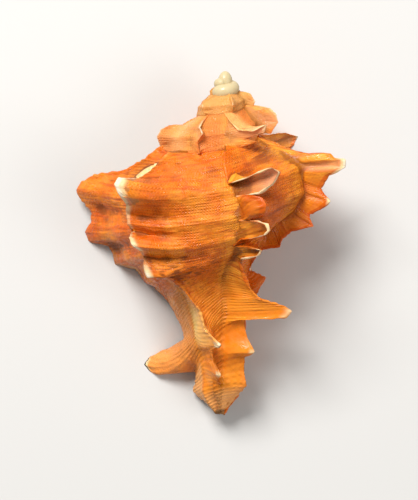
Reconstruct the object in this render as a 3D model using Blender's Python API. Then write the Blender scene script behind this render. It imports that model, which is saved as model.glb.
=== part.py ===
# Spiny murex shell, lying on its aperture side.
#
# The shell is one piece that grew along a spiral. It is modelled the way it grew: one lip
# outline, from the suture down to the tip of the siphonal canal, is swept along a spiral
# that doubles its size with every turn. Six times a turn the lip flares out into a varix,
# a thin blade with hollow spines that open towards the next growth.
#
# +X is the right of the shell seen from its back, +Y points at the apex, +Z is up, away
# from the ground. The origin is on the ground, under the middle of the shell.

import math

import bmesh
import bpy
import numpy as np
from mathutils import Vector

MM = 0.001

# Length of the shell, and the length in millimetres that its outlines are drawn at
SHELL_LENGTH = 34.5 * MM
DRAWN_LENGTH = 34.5
UNIT = SHELL_LENGTH / DRAWN_LENGTH

# Growth
TURN_GROWTH = 2.0
LIP_ANGLE = 188.0
BODY_START = -400.0
SPIRE_START = -1070.0
LUMEN_DEPTH = 205.0
AXIS_TILT = 10.0
GROUND_BELOW_APEX = 8.0

# The lip outline, in millimetres at full size. Each place on it has a cord number:
# 0 suture, 2 to 5 the cords of the whorl, 6 the neck, 7 to 9 the cords of the canal,
# 10 the canal's tip. Columns: cord number, distance from the axis, depth below the apex.
LIP = (
    (0.0, 4.5, 8.0),
    (0.5, 5.7, 9.0),
    (1.0, 6.9, 10.0),
    (1.5, 8.0, 11.1),
    (2.0, 8.9, 12.4),
    (3.0, 9.3, 16.0),
    (4.0, 8.6, 18.8),
    (5.0, 7.0, 21.0),
    (6.0, 5.2, 22.9),
    (6.5, 3.9, 25.2),
    (7.0, 2.9, 28.4),
    (8.0, 2.3, 30.6),
    (9.0, 2.0, 32.6),
    (10.0, 0.7, 34.5),
)
# The side of the tube that faces the axis
INNER = (
    (0.0, 4.0, 8.3),
    (1.0, 3.0, 9.8),
    (2.0, 1.8, 12.4),
    (3.0, 1.0, 16.0),
    (4.0, 0.6, 18.8),
    (5.0, 0.4, 21.0),
    (6.0, 0.3, 22.9),
    (7.0, 0.3, 28.4),
    (8.0, 0.3, 30.6),
    (9.0, 0.3, 32.6),
    (10.0, 0.25, 34.4),
)
# The hollow that the animal lived in: its outer wall, then its wall along the axis
LUMEN_OUT = (
    (0.0, 6.0, 10.3),
    (1.0, 7.0, 11.0),
    (2.0, 8.1, 12.9),
    (3.0, 8.5, 16.0),
    (4.0, 7.8, 18.4),
    (5.0, 6.3, 20.3),
    (6.0, 4.4, 22.3),
    (6.5, 3.0, 24.8),
    (7.0, 2.0, 28.2),
    (8.0, 1.5, 30.3),
    (9.0, 1.2, 31.9),
    (10.0, 0.9, 32.9),
)
LUMEN_IN = (
    (0.0, 5.8, 10.5),
    (1.0, 5.4, 11.2),
    (2.0, 4.7, 13.1),
    (3.0, 3.1, 16.0),
    (4.0, 2.3, 18.6),
    (5.0, 1.9, 20.5),
    (6.0, 1.5, 22.5),
    (6.5, 1.2, 24.9),
    (7.0, 0.9, 28.2),
    (8.0, 0.7, 30.3),
    (9.0, 0.6, 31.9),
    (10.0, 0.65, 32.9),
)
# The pillar inside the coil: depth below the apex and radius
PILLAR = (
    (1.6, 0.5), (4.0, 1.4), (9.0, 3.1), (11.5, 2.3), (15.0, 1.2), (20.0, 0.8), (26.0, 0.55),
    (33.0, 0.42),
)
# The canal grows more slowly than the whorl: power of the growth at each cord number
GROWTH_POWER = ((0.0, 1.0), (6.5, 1.0), (7.0, 0.92), (8.0, 0.5), (9.0, 0.2), (10.0, 0.09))
# The first turns are wider than the spiral: extra radius at the apex, gone at the lip
SPIRE_EXTRA = 0.55
# and they lean to the right of the canal's line by this much
SPIRE_LEAN = 0.5

# Edges of the varices that show from above, in millimetres where the shell lies: cord
# number, right of the apex, below the apex as seen from above, above the tilted axis
EDGES = {
    "lip": (
        (0.0, -5.8, 6.9, -1.2),
        (0.5, -7.9, 8.4, -1.6),
        (1.0, -9.8, 9.4, -2.2),
        (1.5, -12.6, 9.9, -3.2),
        (1.8, -13.8, 10.5, -4.2),
        (2.0, -14.2, 11.4, -4.3),
        (2.3, -13.9, 12.4, -4.3),
        (2.6, -13.0, 13.6, -4.0),
        (2.8, -13.0, 14.7, -4.2),
        (3.0, -13.5, 15.6, -4.9),
        (3.2, -13.2, 16.5, -4.8),
        (3.4, -11.4, 17.0, -4.4),
        (3.8, -10.8, 18.0, -4.2),
        (4.0, -10.5, 18.9, -4.4),
        (4.2, -8.6, 19.3, -4.0),
        (4.8, -7.9, 20.4, -3.9),
        (5.2, -6.8, 21.0, -3.5),
        (6.0, -5.2, 22.8, -2.9),
        (6.5, -4.1, 24.8, -2.5),
        (6.7, -3.5, 26.4, -2.2),
        (6.92, -7.0, 28.4, -2.9),
        (7.0, -7.4, 29.0, -3.0),
        (7.1, -6.8, 29.9, -2.8),
        (7.35, -2.6, 29.6, -1.8),
        (8.0, -2.2, 30.4, -1.6),
        (8.6, -2.7, 31.6, -1.6),
        (9.2, -2.1, 32.4, -1.2),
        (9.6, -0.9, 33.4, -0.8),
        (10.0, 0.3, 34.1, -0.3),
    ),
    "left": (
        (0.0, -5.0, 7.6, 3.4),
        (0.4, -6.1, 8.8, 4.6),
        (0.8, -7.1, 9.7, 6.0),
        (1.3, -8.2, 10.3, 7.4),
        (1.6, -9.1, 10.3, 8.3),
        (1.8, -9.8, 10.3, 8.8),
        (1.95, -10.1, 10.9, 9.0),
        (2.15, -9.7, 12.1, 8.9),
        (2.4, -9.2, 12.9, 8.0),
        (2.7, -9.1, 13.8, 6.7),
        (3.0, -8.9, 14.8, 6.9),
        (3.4, -8.7, 15.6, 6.7),
        (3.75, -8.9, 16.2, 7.4),
        (4.0, -8.5, 17.0, 7.6),
        (4.2, -7.9, 17.4, 6.9),
        (4.5, -7.5, 18.1, 5.7),
        (4.8, -7.4, 19.0, 6.0),
        (5.0, -7.0, 20.1, 6.1),
        (5.2, -6.2, 19.9, 5.6),
        (5.5, -5.2, 20.0, 4.6),
        (6.0, -3.8, 21.1, 4.3),
        (6.6, -2.1, 23.4, 3.9),
        (6.8, -1.5, 25.4, 3.8),
        (7.0, 0.0, 26.9, 4.6),
        (7.3, -0.9, 27.4, 3.4),
        (7.8, -0.7, 28.6, 3.2),
        (8.0, 0.0, 29.9, 3.8),
        (8.4, -0.4, 30.4, 2.6),
        (9.2, 0.2, 31.6, 1.8),
        (9.6, 0.8, 32.2, 1.1),
        (10.0, 0.5, 33.6, 0.2),
    ),
    "mid": (
        (0.0, 0.6, 7.0, 4.2),
        (0.8, 0.5, 8.8, 6.2),
        (1.35, 0.9, 10.8, 7.4),
        (1.6, 2.5, 10.3, 8.8),
        (1.85, 5.0, 9.2, 10.6),
        (2.0, 5.8, 9.6, 11.0),
        (2.12, 5.2, 10.8, 10.4),
        (2.3, 4.0, 11.7, 9.2),
        (2.6, 1.7, 12.1, 7.3),
        (2.74, 2.9, 12.0, 8.3),
        (2.88, 4.1, 12.3, 8.9),
        (3.0, 4.5, 13.0, 9.2),
        (3.14, 4.3, 13.8, 9.0),
        (3.28, 3.2, 14.3, 8.2),
        (3.45, 1.9, 14.4, 7.4),
        (3.6, 2.2, 14.5, 7.6),
        (3.74, 3.7, 14.5, 8.5),
        (3.88, 4.6, 14.8, 9.0),
        (4.0, 4.8, 15.4, 9.1),
        (4.12, 4.4, 15.9, 8.9),
        (4.26, 3.3, 16.2, 8.0),
        (4.4, 2.2, 16.3, 7.0),
        (4.6, 1.4, 17.0, 6.4),
        (4.8, 2.8, 17.1, 7.2),
        (5.0, 4.1, 17.4, 7.6),
        (5.12, 3.8, 18.0, 7.2),
        (5.35, 2.2, 18.2, 5.8),
        (5.6, 2.0, 18.6, 5.2),
        (6.0, 2.4, 19.8, 4.8),
        (6.4, 3.0, 21.2, 4.6),
        (6.7, 4.0, 22.3, 4.6),
        (6.92, 6.4, 23.0, 4.5),
        (7.0, 7.0, 23.5, 4.4),
        (7.07, 6.4, 24.1, 4.3),
        (7.15, 5.0, 24.3, 4.2),
        (7.23, 3.7, 24.1, 3.9),
        (7.32, 2.6, 23.8, 3.4),
        (7.42, 2.3, 24.6, 2.8),
        (7.7, 2.6, 26.0, 2.8),
        (8.0, 3.3, 27.6, 3.2),
        (8.3, 2.4, 28.2, 2.4),
        (8.7, 2.3, 29.6, 2.0),
        (9.0, 2.5, 31.0, 2.0),
        (9.3, 2.0, 31.6, 1.5),
        (9.6, 1.4, 32.2, 1.0),
        (10.0, 0.6, 33.6, 0.2),
    ),
    "right": (
        (0.0, 4.6, 6.4, 0.6),
        (0.8, 7.2, 7.4, 0.9),
        (1.35, 9.2, 7.8, 1.7),
        (1.6, 10.8, 7.7, 2.3),
        (1.75, 11.3, 8.2, 2.5),
        (1.88, 12.1, 8.3, 2.8),
        (2.05, 12.1, 9.1, 2.8),
        (2.25, 10.7, 9.9, 2.2),
        (2.55, 9.9, 11.2, 1.8),
        (2.8, 10.3, 11.9, 2.0),
        (3.0, 10.7, 12.5, 2.4),
        (3.2, 9.9, 13.2, 2.0),
        (3.5, 8.8, 13.8, 1.8),
        (4.0, 9.1, 15.0, 2.4),
        (4.3, 7.0, 15.4, 1.6),
        (4.7, 6.1, 16.2, 1.4),
        (5.0, 5.8, 17.0, 1.6),
        (5.4, 4.2, 17.2, 1.0),
        (6.0, 3.2, 18.4, 0.7),
        (6.5, 3.0, 18.9, 0.5),
        (6.75, 2.7, 19.4, 0.5),
        (7.0, 4.2, 20.2, 0.8),
        (7.4, 2.4, 23.6, 0.5),
        (8.0, 2.5, 26.8, 0.6),
        (8.5, 2.4, 28.6, 0.4),
        (9.0, 2.4, 30.6, 0.4),
        (9.4, 1.8, 31.7, 0.3),
        (9.7, 1.1, 32.8, 0.2),
        (10.0, 0.4, 33.9, 0.1),
    ),
    "under_right": (
        (0.0, 2.2, 5.0, -2.6),
        (1.0, 4.0, 5.9, -4.2),
        (1.5, 6.4, 5.5, -6.0),
        (2.0, 7.5, 5.9, -6.8),
        (2.25, 7.2, 6.8, -6.8),
        (2.5, 5.6, 8.0, -6.3),
        (2.7, 4.9, 9.2, -5.9),
        (3.0, 6.0, 10.4, -6.3),
        (3.4, 4.5, 11.2, -5.5),
        (4.0, 5.2, 12.7, -5.9),
        (4.4, 3.8, 13.2, -4.7),
        (5.0, 4.1, 14.4, -4.9),
        (5.5, 2.8, 14.8, -3.6),
        (6.0, 2.6, 15.6, -3.2),
        (6.6, 2.2, 17.4, -2.8),
        (7.0, 3.0, 19.6, -3.4),
        (7.4, 1.8, 20.8, -2.1),
        (8.0, 2.0, 24.6, -2.3),
        (8.5, 1.6, 26.0, -1.8),
        (9.0, 1.6, 28.4, -1.8),
        (10.0, 0.5, 31.0, -0.5),
    ),
    "spire_left": (
        (0.0, -2.5, 4.0, -0.3),
        (0.8, -3.9, 4.8, -0.5),
        (1.2, -5.2, 4.9, -0.8),
        (1.6, -6.0, 5.3, -1.2),
        (2.0, -6.2, 6.0, -1.4),
        (2.4, -6.1, 6.8, -1.4),
        (2.8, -5.9, 7.4, -1.2),
        (3.4, -5.6, 8.2, -0.8),
        (10.0, -4.4, 9.8, -0.6),
    ),
    "spire_right": (
        (0.0, 2.4, 2.7, 0.2),
        (0.8, 3.6, 3.0, 0.5),
        (1.2, 4.9, 3.2, 0.9),
        (1.6, 5.5, 3.8, 1.2),
        (2.0, 5.6, 4.6, 1.3),
        (2.4, 5.2, 5.3, 1.1),
        (2.8, 4.9, 5.8, 0.8),
        (3.4, 4.3, 6.2, 0.5),
        (10.0, 3.2, 7.2, 0.3),
    ),
    "spire_back": (
        (0.0, -1.2, 3.9, 2.0),
        (0.8, -1.8, 4.6, 3.3),
        (1.4, -2.1, 5.2, 4.3),
        (2.0, -1.7, 5.8, 4.9),
        (2.3, -2.3, 6.6, 4.4),
        (2.7, -2.1, 7.8, 4.6),
        (3.4, -1.4, 8.7, 4.0),
        (10.0, -1.2, 8.8, 3.0),
    ),
    "spire_mid": (
        (0.0, 0.4, 3.7, 2.3),
        (0.8, 1.1, 4.7, 3.6),
        (1.3, 1.9, 5.5, 4.4),
        (1.65, 3.2, 5.6, 5.2),
        (1.95, 4.5, 4.9, 5.6),
        (2.15, 4.3, 5.7, 5.2),
        (2.45, 2.4, 6.3, 4.0),
        (2.7, 3.8, 6.6, 4.2),
        (3.0, 2.4, 7.3, 3.6),
        (10.0, 1.6, 8.5, 2.6),
    ),
    "top_left": (
        (0.0, -1.2, 1.9, 0.0),
        (0.8, -1.5, 2.2, 0.0),
        (1.4, -1.9, 2.5, -0.1),
        (2.0, -2.2, 3.1, -0.2),
        (2.5, -2.4, 3.8, -0.2),
        (3.4, -2.3, 4.3, -0.1),
        (10.0, -1.8, 4.8, 0.0),
    ),
    "top_right": (
        (0.0, 1.6, 1.4, 0.1),
        (0.8, 2.2, 1.5, 0.3),
        (1.4, 2.9, 1.8, 0.5),
        (2.0, 3.3, 2.5, 0.6),
        (2.5, 3.2, 3.0, 0.5),
        (3.4, 2.6, 3.4, 0.2),
        (10.0, 1.8, 3.8, 0.1),
    ),
}
# Edges of the others, in millimetres at full size: cord number, then how far the blade
# stands out, rises towards the apex and leans towards the next growth
GROWN = {
    "common": (
        (0.0, 0.5, 0.5, 0.1),
        (1.0, 1.2, 0.9, 0.4),
        (1.6, 3.0, 1.0, 0.7),
        (2.0, 5.4, 0.7, 1.5),
        (2.4, 2.6, -0.1, 0.7),
        (2.7, 1.9, -0.3, 0.5),
        (3.0, 3.7, -0.8, 1.1),
        (3.4, 1.7, -0.6, 0.5),
        (4.0, 3.1, -1.3, 0.9),
        (4.4, 1.4, -0.7, 0.4),
        (5.0, 2.5, -1.6, 0.8),
        (5.5, 1.0, -0.7, 0.3),
        (6.0, 0.9, -0.4, 0.2),
        (6.6, 0.8, -0.3, 0.2),
        (7.0, 2.7, -1.4, 0.5),
        (7.4, 0.8, -0.3, 0.2),
        (8.0, 1.4, -1.0, 0.4),
        (8.5, 0.6, -0.2, 0.1),
        (9.0, 0.9, -0.5, 0.2),
        (10.0, 0.05, 0.0, 0.0),
    ),
    "spire": (
        (0.0, 0.2, 0.3, 0.1),
        (0.8, 1.1, 0.9, 0.3),
        (1.4, 2.7, 1.3, 0.8),
        (1.8, 3.5, 0.9, 1.1),
        (2.2, 3.5, 0.1, 1.1),
        (2.6, 2.7, -0.2, 0.8),
        (3.2, 2.4, 0.0, 0.6),
        (10.0, 2.0, 0.0, 0.5),
    ),
}
# Varix angles behind the lip, in degrees of growth, with the edge of each
VARICES = (
    (0.0, "lip"),
    (-56.0, "left"),
    (-120.0, "mid"),
    (-180.0, "right"),
    (-240.0, "under_right"),
    (-300.0, "common"),
    (-360.0, "spire_left"),
    (-420.0, "spire_back"),
    (-480.0, "spire_mid"),
    (-540.0, "spire_right"),
    (-600.0, "spire"),
    (-660.0, "spire"),
    (-720.0, "top_left"),
    (-780.0, "spire"),
    (-840.0, "spire"),
    (-900.0, "top_right"),
    (-960.0, "spire"),
    (-1020.0, "spire"),
    (-1080.0, "spire"),
    (-1140.0, "spire"),
)

# Digits of a varix: cord number, half width in cord numbers, depth of the digit's hollow,
# and how far its front is closed into a tube, from 0 to 1
PLAIN_DIGITS = (
    (2.0, 0.45, 1.1, 0.3),
    (3.0, 0.42, 0.9, 0.3),
    (4.0, 0.42, 0.7, 0.3),
    (5.0, 0.45, 0.5, 0.2),
    (7.0, 0.28, 0.7, 1.0),
    (8.0, 0.35, 0.4, 1.0),
)
OWN_DIGITS = {
    "left": (
        (2.05, 0.75, 2.6, 0.0),
        (3.1, 0.30, 0.6, 0.0),
        (3.95, 0.50, 1.9, 0.0),
        (4.95, 0.45, 1.6, 0.0),
        (7.0, 0.32, 1.0, 1.0),
        (8.0, 0.45, 0.8, 1.0),
    ),
    "mid": (
        (1.95, 0.50, 1.5, 0.25),
        (3.0, 0.42, 1.5, 1.0),
        (4.0, 0.36, 1.2, 0.3),
        (5.0, 0.32, 1.0, 0.4),
        (7.0, 0.32, 1.1, 1.0),
        (8.0, 0.42, 0.9, 1.0),
    ),
    "right": (
        (2.0, 0.55, 1.6, 0.75),
        (3.0, 0.45, 1.2, 0.6),
        (4.0, 0.42, 0.9, 0.3),
        (5.0, 0.40, 0.6, 0.2),
        (7.0, 0.28, 0.8, 1.0),
        (8.0, 0.35, 0.5, 1.0),
    ),
}
RIM_THICK = 0.36
CORD_HEIGHT = 0.22
# The foot of a varix reaches this far ahead of its edge, in degrees of growth
ROOT = math.degrees(1.0 / 9.0)
# The canal's long spines hang below a straight line by this much
SPINE_DROOP = {"lip": 0.6, "mid": 0.1}
OTHER_DROOP = 0.4
# Later shell fills the front of the varix at the right to this height
FILL = 1.7

# How finely the lip outline and the growth are divided
CORDS = (
    0.0, 0.5, 1.0, 1.5, 1.8, 2.0, 2.2, 2.5, 2.75, 3.0, 3.25, 3.6, 4.0, 4.3, 4.7, 5.0,
    5.4, 6.0, 6.5, 6.75, 6.92, 7.0, 7.1, 7.3, 7.65, 8.0, 8.4, 9.0, 10.0,
)
SPIRE_CORDS = 14
INNER_CORDS = (9.0, 7.0, 6.0, 4.5, 3.0, 1.8, 0.8)
SPIRE_INNER_CORDS = (2.8, 1.4)
# How the back of a varix rises: flat at first, then steeper
RISE_POWER = 2.5
RISE_FLAT = 1.9
RISE_STEPS = (0.12, 0.42, 0.66, 0.84, 1.0)
FALL_STEPS = (1.0, 0.5)
LUMEN_STEPS = (0.0, 25.0, 55.0, 90.0, 130.0, 170.0, LUMEN_DEPTH)
# The protoconch's coil, in degrees and in steps
COIL_TURNS = 450.0
COIL_STEPS = 14


def table(rows, cord, column):
    """Value of one column of an outline at the given cord numbers, rounded between."""
    rows = np.array(rows)
    at = np.clip(cord, rows[0, 0], rows[-1, 0])
    index = np.clip(np.searchsorted(rows[:, 0], at, side="right") - 1, 0, len(rows) - 2)
    start, end = rows[index], rows[index + 1]
    part = (at - start[..., 0]) / (end[..., 0] - start[..., 0])
    part = 0.5 * part + 0.5 * (part * part * (3.0 - 2.0 * part))
    return start[..., column] * (1.0 - part) + end[..., column] * part


def smooth_table(rows, cord, column):
    """The same through a smooth curve, for outlines with no corners."""
    rows = np.array(rows)
    x, y = rows[:, 0], rows[:, column]
    slope = np.gradient(y, x)
    at = np.clip(cord, x[0], x[-1])
    index = np.clip(np.searchsorted(x, at, side="right") - 1, 0, len(x) - 2)
    width = x[index + 1] - x[index]
    t = (at - x[index]) / width
    return (
        (2 * t**3 - 3 * t**2 + 1) * y[index]
        + (t**3 - 2 * t**2 + t) * width * slope[index]
        + (3 * t**2 - 2 * t**3) * y[index + 1]
        + (t**3 - t**2) * width * slope[index + 1]
    )


def tilt(points):
    """Turns points about the apex so that the shell lies with its apex raised."""
    c, s = math.cos(math.radians(AXIS_TILT)), math.sin(math.radians(AXIS_TILT))
    x, y, z = points[..., 0], points[..., 1], points[..., 2]
    return np.stack([x, y * c - z * s, y * s + z * c], axis=-1)


def growth(turned, cord):
    power = np.interp(cord, [p[0] for p in GROWTH_POWER], [p[1] for p in GROWTH_POWER])
    return TURN_GROWTH ** (turned / 360.0 * power)


def directions(turned):
    """Outward and growing directions at an angle of growth behind the lip."""
    phi = math.radians(LIP_ANGLE + turned)
    out = np.array([math.cos(phi), 0.0, math.sin(phi)])
    ahead = np.array([-math.sin(phi), 0.0, math.cos(phi)])
    return tilt(out), tilt(ahead), tilt(np.array([0.0, 1.0, 0.0]))


def on_outline(outline, turned, cord):
    """Points of a lip outline at an angle of growth, which may differ along it."""
    scale = growth(turned, cord)
    young = (1.0 - TURN_GROWTH ** (turned / 360.0)) ** 2
    radius = smooth_table(outline, cord, 1) * scale + SPIRE_EXTRA * young
    depth = smooth_table(outline, cord, 2) * scale
    phi = np.radians(LIP_ANGLE + turned)
    points = [radius * np.cos(phi) + SPIRE_LEAN * young, -depth, radius * np.sin(phi)]
    return tilt(np.stack(points, axis=-1))


def bump_at(cord, centre, half):
    """1 at one place of the outline, falling to 0 at a distance from it."""
    return np.clip(1.0 - ((cord - centre) / half) ** 2, 0.0, 1.0)


def cords_relief(cord):
    """Height of the ridges that run along the growth."""
    height = np.zeros_like(cord)
    for centre, half, depth, closed in PLAIN_DIGITS:
        height += CORD_HEIGHT * np.exp(-(((cord - centre) / 0.22) ** 2)) * depth
    return height


def digit_folds(name, cord):
    """How deep the back of a blade is folded, and how far its front is."""
    back, front = np.zeros_like(cord), np.zeros_like(cord)
    for centre, half, depth, closed in OWN_DIGITS.get(name, PLAIN_DIGITS):
        near = depth * bump_at(cord, centre, half)
        back += near
        front += near * (1.0 - 2.0 * closed)
    return back, front


def blade(number, cord):
    """How far the edge of a varix stands from the plain lip."""
    turned, name = VARICES[number]
    if name in GROWN:
        out, ahead, up = directions(turned)
        rows = GROWN[name]
        shift = table(rows, cord, 1)[..., None] * out
        shift = shift + table(rows, cord, 2)[..., None] * up
        shift = shift + table(rows, cord, 3)[..., None] * ahead
        shift = shift * growth(turned, cord)[..., None]
    else:
        rows = EDGES[name]
        below = table(rows, cord, 2)
        height = table(rows, cord, 3) - below * math.tan(math.radians(AXIS_TILT))
        target = np.stack([table(rows, cord, 1), -below, height], axis=-1)
        shift = target - on_outline(LIP, turned, cord)
    if turned <= -360.0:
        shift = shift * np.clip((3.2 - cord) / 0.5, 0.0, 1.0)[..., None]
    return shift


def root_angle(cord):
    """Reach of a varix's foot, which is longer on the canal."""
    part = np.clip((cord - 5.3) / 1.0, 0.0, 1.0)
    return ROOT * (1.0 + 1.6 * part * part * (3.0 - 2.0 * part))


def filled(turned, cord):
    """Shell laid on in front of the varix at the right."""
    start = np.clip((turned + 180.0) / ROOT, 0.0, 1.0)
    fade = np.clip((-125.0 - turned) / 48.0, 0.0, 1.0)
    return FILL * start * fade**1.5 * bump_at(cord, 2.7, 2.0)


def angle_of(place):
    """Angle of growth at a place between two varices, 1 at the later one's edge."""
    start, end, along = place
    if along > 1.0:
        return end + ROOT * (along - 1.0)
    return start + ROOT + (end - start - ROOT) * along


def outer_row(number, cord, place, lift, face):
    """One growth line on the outside, lifted towards its varix; face 1 is its front."""
    start, end, along = place
    name = VARICES[number][1]
    shift = blade(number, cord)
    back, front = digit_folds(name, cord)
    fold = (back * (1.0 - face) + front * face)[..., None]
    foot = root_angle(cord)
    turned = end + foot * (along - 1.0)
    if along <= 1.0:
        turned = start + foot + (end - start - foot) * along
    out, ahead, up = directions(angle_of((start, end, min(along, 1.0))))
    scale = growth(turned, cord)[..., None]
    points = on_outline(LIP, turned, cord) + cords_relief(cord)[..., None] * scale * out
    points = points + filled(turned, cord)[..., None] * out * (1.0 - lift)
    hollow = lift**0.8 * (1.0 - lift**4)
    points = points + shift * lift - ahead * fold * scale * hollow
    droop = SPINE_DROOP.get(name, OTHER_DROOP) * bump_at(cord, 7.0, 0.3)
    points = points - up * (droop * 4.0 * lift * (1.0 - lift))[..., None] * scale
    return points + ahead * face * RIM_THICK * scale * min(1.0, 0.25 + 0.75 * lift)


def ring_rows(first, last):
    """Growth lines between two angles: place, varix, lift, and back or front face."""
    rows = []
    varices = sorted(range(len(VARICES)), key=lambda k: VARICES[k][0])
    for number, after in zip(varices, varices[1:]):
        start, end = VARICES[number][0], VARICES[after][0]
        for step in RISE_STEPS:
            along = 1.0 - (1.0 - step) ** RISE_FLAT
            rows.append(((start, end, along), after, step**RISE_POWER, 0.0))
        for step in FALL_STEPS:
            along = 1.0 + (1.0 - step) ** 1.4
            rows.append(((start, end, along), after, step, 1.0))
    return [row for row in rows if first <= angle_of(row[0]) < last]


class Surface:
    """Points and faces of the sweep, ring by ring."""

    def __init__(self):
        self.points = []
        self.faces = []

    def ring(self, outside, inside):
        first = len(self.points)
        self.points.extend(np.vstack([outside, inside]))
        return list(range(first, len(self.points)))

    def chain(self, rings):
        for a, b in zip(rings, rings[1:]):
            for i in range(len(a)):
                j = (i + 1) % len(a)
                self.faces.append((a[i], b[i], b[j], a[j]))


def whorl_rings(surface, rows, cords, inner):
    rings = []
    for place, number, lift, face in rows:
        outside = outer_row(number, cords, place, lift, face)
        rings.append(surface.ring(outside, on_outline(INNER, angle_of(place), inner)))
    return rings


def join_spire(surface, spire_end, body_start):
    """Joins the narrow outline of the spire to the full one of the last whorl."""
    n = SPIRE_CORDS
    for i in range(n - 1):
        surface.faces.append(
            (spire_end[i], body_start[i], body_start[i + 1], spire_end[i + 1]))
    hidden = body_start[n - 1:] + [body_start[0]] + [spire_end[0]] + spire_end[:n - 2:-1]
    surface.faces.append(tuple(hidden))


def mouth_rings(surface, cords, inner):
    """The front of the lip, and the hollow running back inside the whorl."""
    lip = outer_row(0, cords, (-56.0, 0.0, 1.0), 1.0, 1.0)
    mouth = on_outline(LUMEN_OUT, ROOT, cords)
    rings = [surface.ring(0.5 * lip + 0.5 * mouth, on_outline(INNER, 0.6 * ROOT, inner))]
    for back in LUMEN_STEPS:
        outside = on_outline(LUMEN_OUT, ROOT - back, cords)
        inside = on_outline(LUMEN_IN, ROOT - back, inner)
        shrink = max(0.0, (back - 150.0) / (LUMEN_DEPTH - 150.0)) * 0.8
        middle = (0.5 * outside[8] + 0.5 * inside[4]) * shrink
        rings.append(surface.ring(
            outside * (1.0 - shrink) + middle, inside * (1.0 - shrink) + middle))
    return rings


def shell_mesh():
    """All rings joined into one closed surface."""
    cords, inner = np.array(CORDS), np.array(INNER_CORDS)
    surface = Surface()
    spire = whorl_rings(surface, ring_rows(SPIRE_START, BODY_START), cords[:SPIRE_CORDS],
                        np.array(SPIRE_INNER_CORDS))
    surface.chain(spire)
    surface.faces.append(tuple(spire[0]))
    rings = whorl_rings(surface, ring_rows(BODY_START, 0.001), cords, inner)
    join_spire(surface, spire[-1], rings[0])
    rings += mouth_rings(surface, cords, inner)
    surface.chain(rings)
    surface.faces.append(tuple(reversed(rings[-1])))
    return np.array(surface.points), surface.faces


def round_bar(centres, radii, axes, sides=10):
    """A round bar through the given centres, each ring in its own plane."""
    verts, rings = [], []
    for centre, radius, (across, along) in zip(centres, radii, axes):
        first = len(verts)
        for i in range(sides):
            a = 2.0 * math.pi * i / sides
            verts.append(centre + radius * (math.cos(a) * across + math.sin(a) * along))
        rings.append(list(range(first, first + sides)))
    faces = [tuple(rings[0]), tuple(reversed(rings[-1]))]
    for a, b in zip(rings, rings[1:]):
        for i in range(sides):
            j = (i + 1) % sides
            faces.append((a[i], b[i], b[j], a[j]))
    return tilt(np.array(verts)), faces


def protoconch_mesh():
    """The smooth coil that the shell began as, below its first bulb."""
    down = np.array([0.0, -1.0, 0.0])
    centres, radii, axes = [], [], []
    for k in range(COIL_STEPS + 1):
        t = k / COIL_STEPS
        phi = math.radians(LIP_ANGLE - 5.0 - COIL_TURNS * (1.0 - t))
        out = np.array([math.cos(phi), 0.0, math.sin(phi)])
        centres.append((0.56 + 0.26 * t) * out + np.array([0.45, -0.55 - 1.05 * t, 0.0]))
        radii.append((0.50 + 0.28 * t) * (0.5 if k in (0, COIL_STEPS) else 1.0))
        axes.append((out, down))
    return round_bar(centres, radii, axes)


def bulb_object():
    """The first bulb, at the very top."""
    bpy.ops.mesh.primitive_uv_sphere_add(segments=14, ring_count=8, radius=0.72 * UNIT)
    bulb = bpy.context.object
    bulb.name = "first_bulb"
    bulb.location = Vector(tilt(np.array([0.42, -0.40, 0.0])) * UNIT)
    bulb.scale = (1.0, 1.25, 1.0)
    return bulb


def pillar_mesh():
    """The pillar that the whorls coil around."""
    across, along = np.array([1.0, 0.0, 0.0]), np.array([0.0, 0.0, 1.0])
    centres = [np.array([0.0, -depth, 0.0]) for depth, radius in PILLAR]
    radii = [radius for depth, radius in PILLAR]
    return round_bar(centres, radii, [(across, along)] * len(PILLAR))


def make_object(name, verts, faces):
    mesh = bpy.data.meshes.new(name)
    mesh.from_pydata([tuple(v) for v in verts], [], faces)
    work = bmesh.new()
    work.from_mesh(mesh)
    bmesh.ops.recalc_face_normals(work, faces=work.faces)
    bmesh.ops.triangulate(work, faces=work.faces)
    work.to_mesh(mesh)
    work.free()
    thing = bpy.data.objects.new(name, mesh)
    bpy.context.scene.collection.objects.link(thing)
    return thing


def combine(thing, others, operation):
    """Boolean with the other objects one by one, kept as plain faces of the first."""
    for other in others:
        step = thing.modifiers.new(operation, "BOOLEAN")
        step.operation = operation
        step.object = other
        step.solver = "EXACT"
        step.use_self = True
    bpy.context.view_layer.update()
    depsgraph = bpy.context.evaluated_depsgraph_get()
    mesh = bpy.data.meshes.new_from_object(thing.evaluated_get(depsgraph))
    thing.modifiers.clear()
    thing.data = mesh
    for other in others:
        bpy.data.objects.remove(other, do_unlink=True)


def keep_outer_body(thing):
    """Drops the scraps that crossing folds leave inside the solid."""
    work = bmesh.new()
    work.from_mesh(thing.data)
    bmesh.ops.remove_doubles(work, verts=work.verts, dist=0.002 * MM)
    bmesh.ops.triangulate(work, faces=work.faces)
    work.faces.ensure_lookup_table()
    left = set(work.faces)
    bodies = []
    while left:
        stack = [left.pop()]
        body = list(stack)
        while stack:
            for edge in stack.pop().edges:
                if len(edge.link_faces) != 2:
                    continue
                for face in edge.link_faces:
                    if face in left:
                        left.remove(face)
                        stack.append(face)
                        body.append(face)
        bodies.append(body)
    bodies.sort(key=len)
    scraps = [face for body in bodies[:-1] for face in body]
    bmesh.ops.delete(work, geom=scraps, context="FACES")
    bmesh.ops.recalc_face_normals(work, faces=work.faces)
    work.to_mesh(thing.data)
    work.free()
    return len(bodies)


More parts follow.
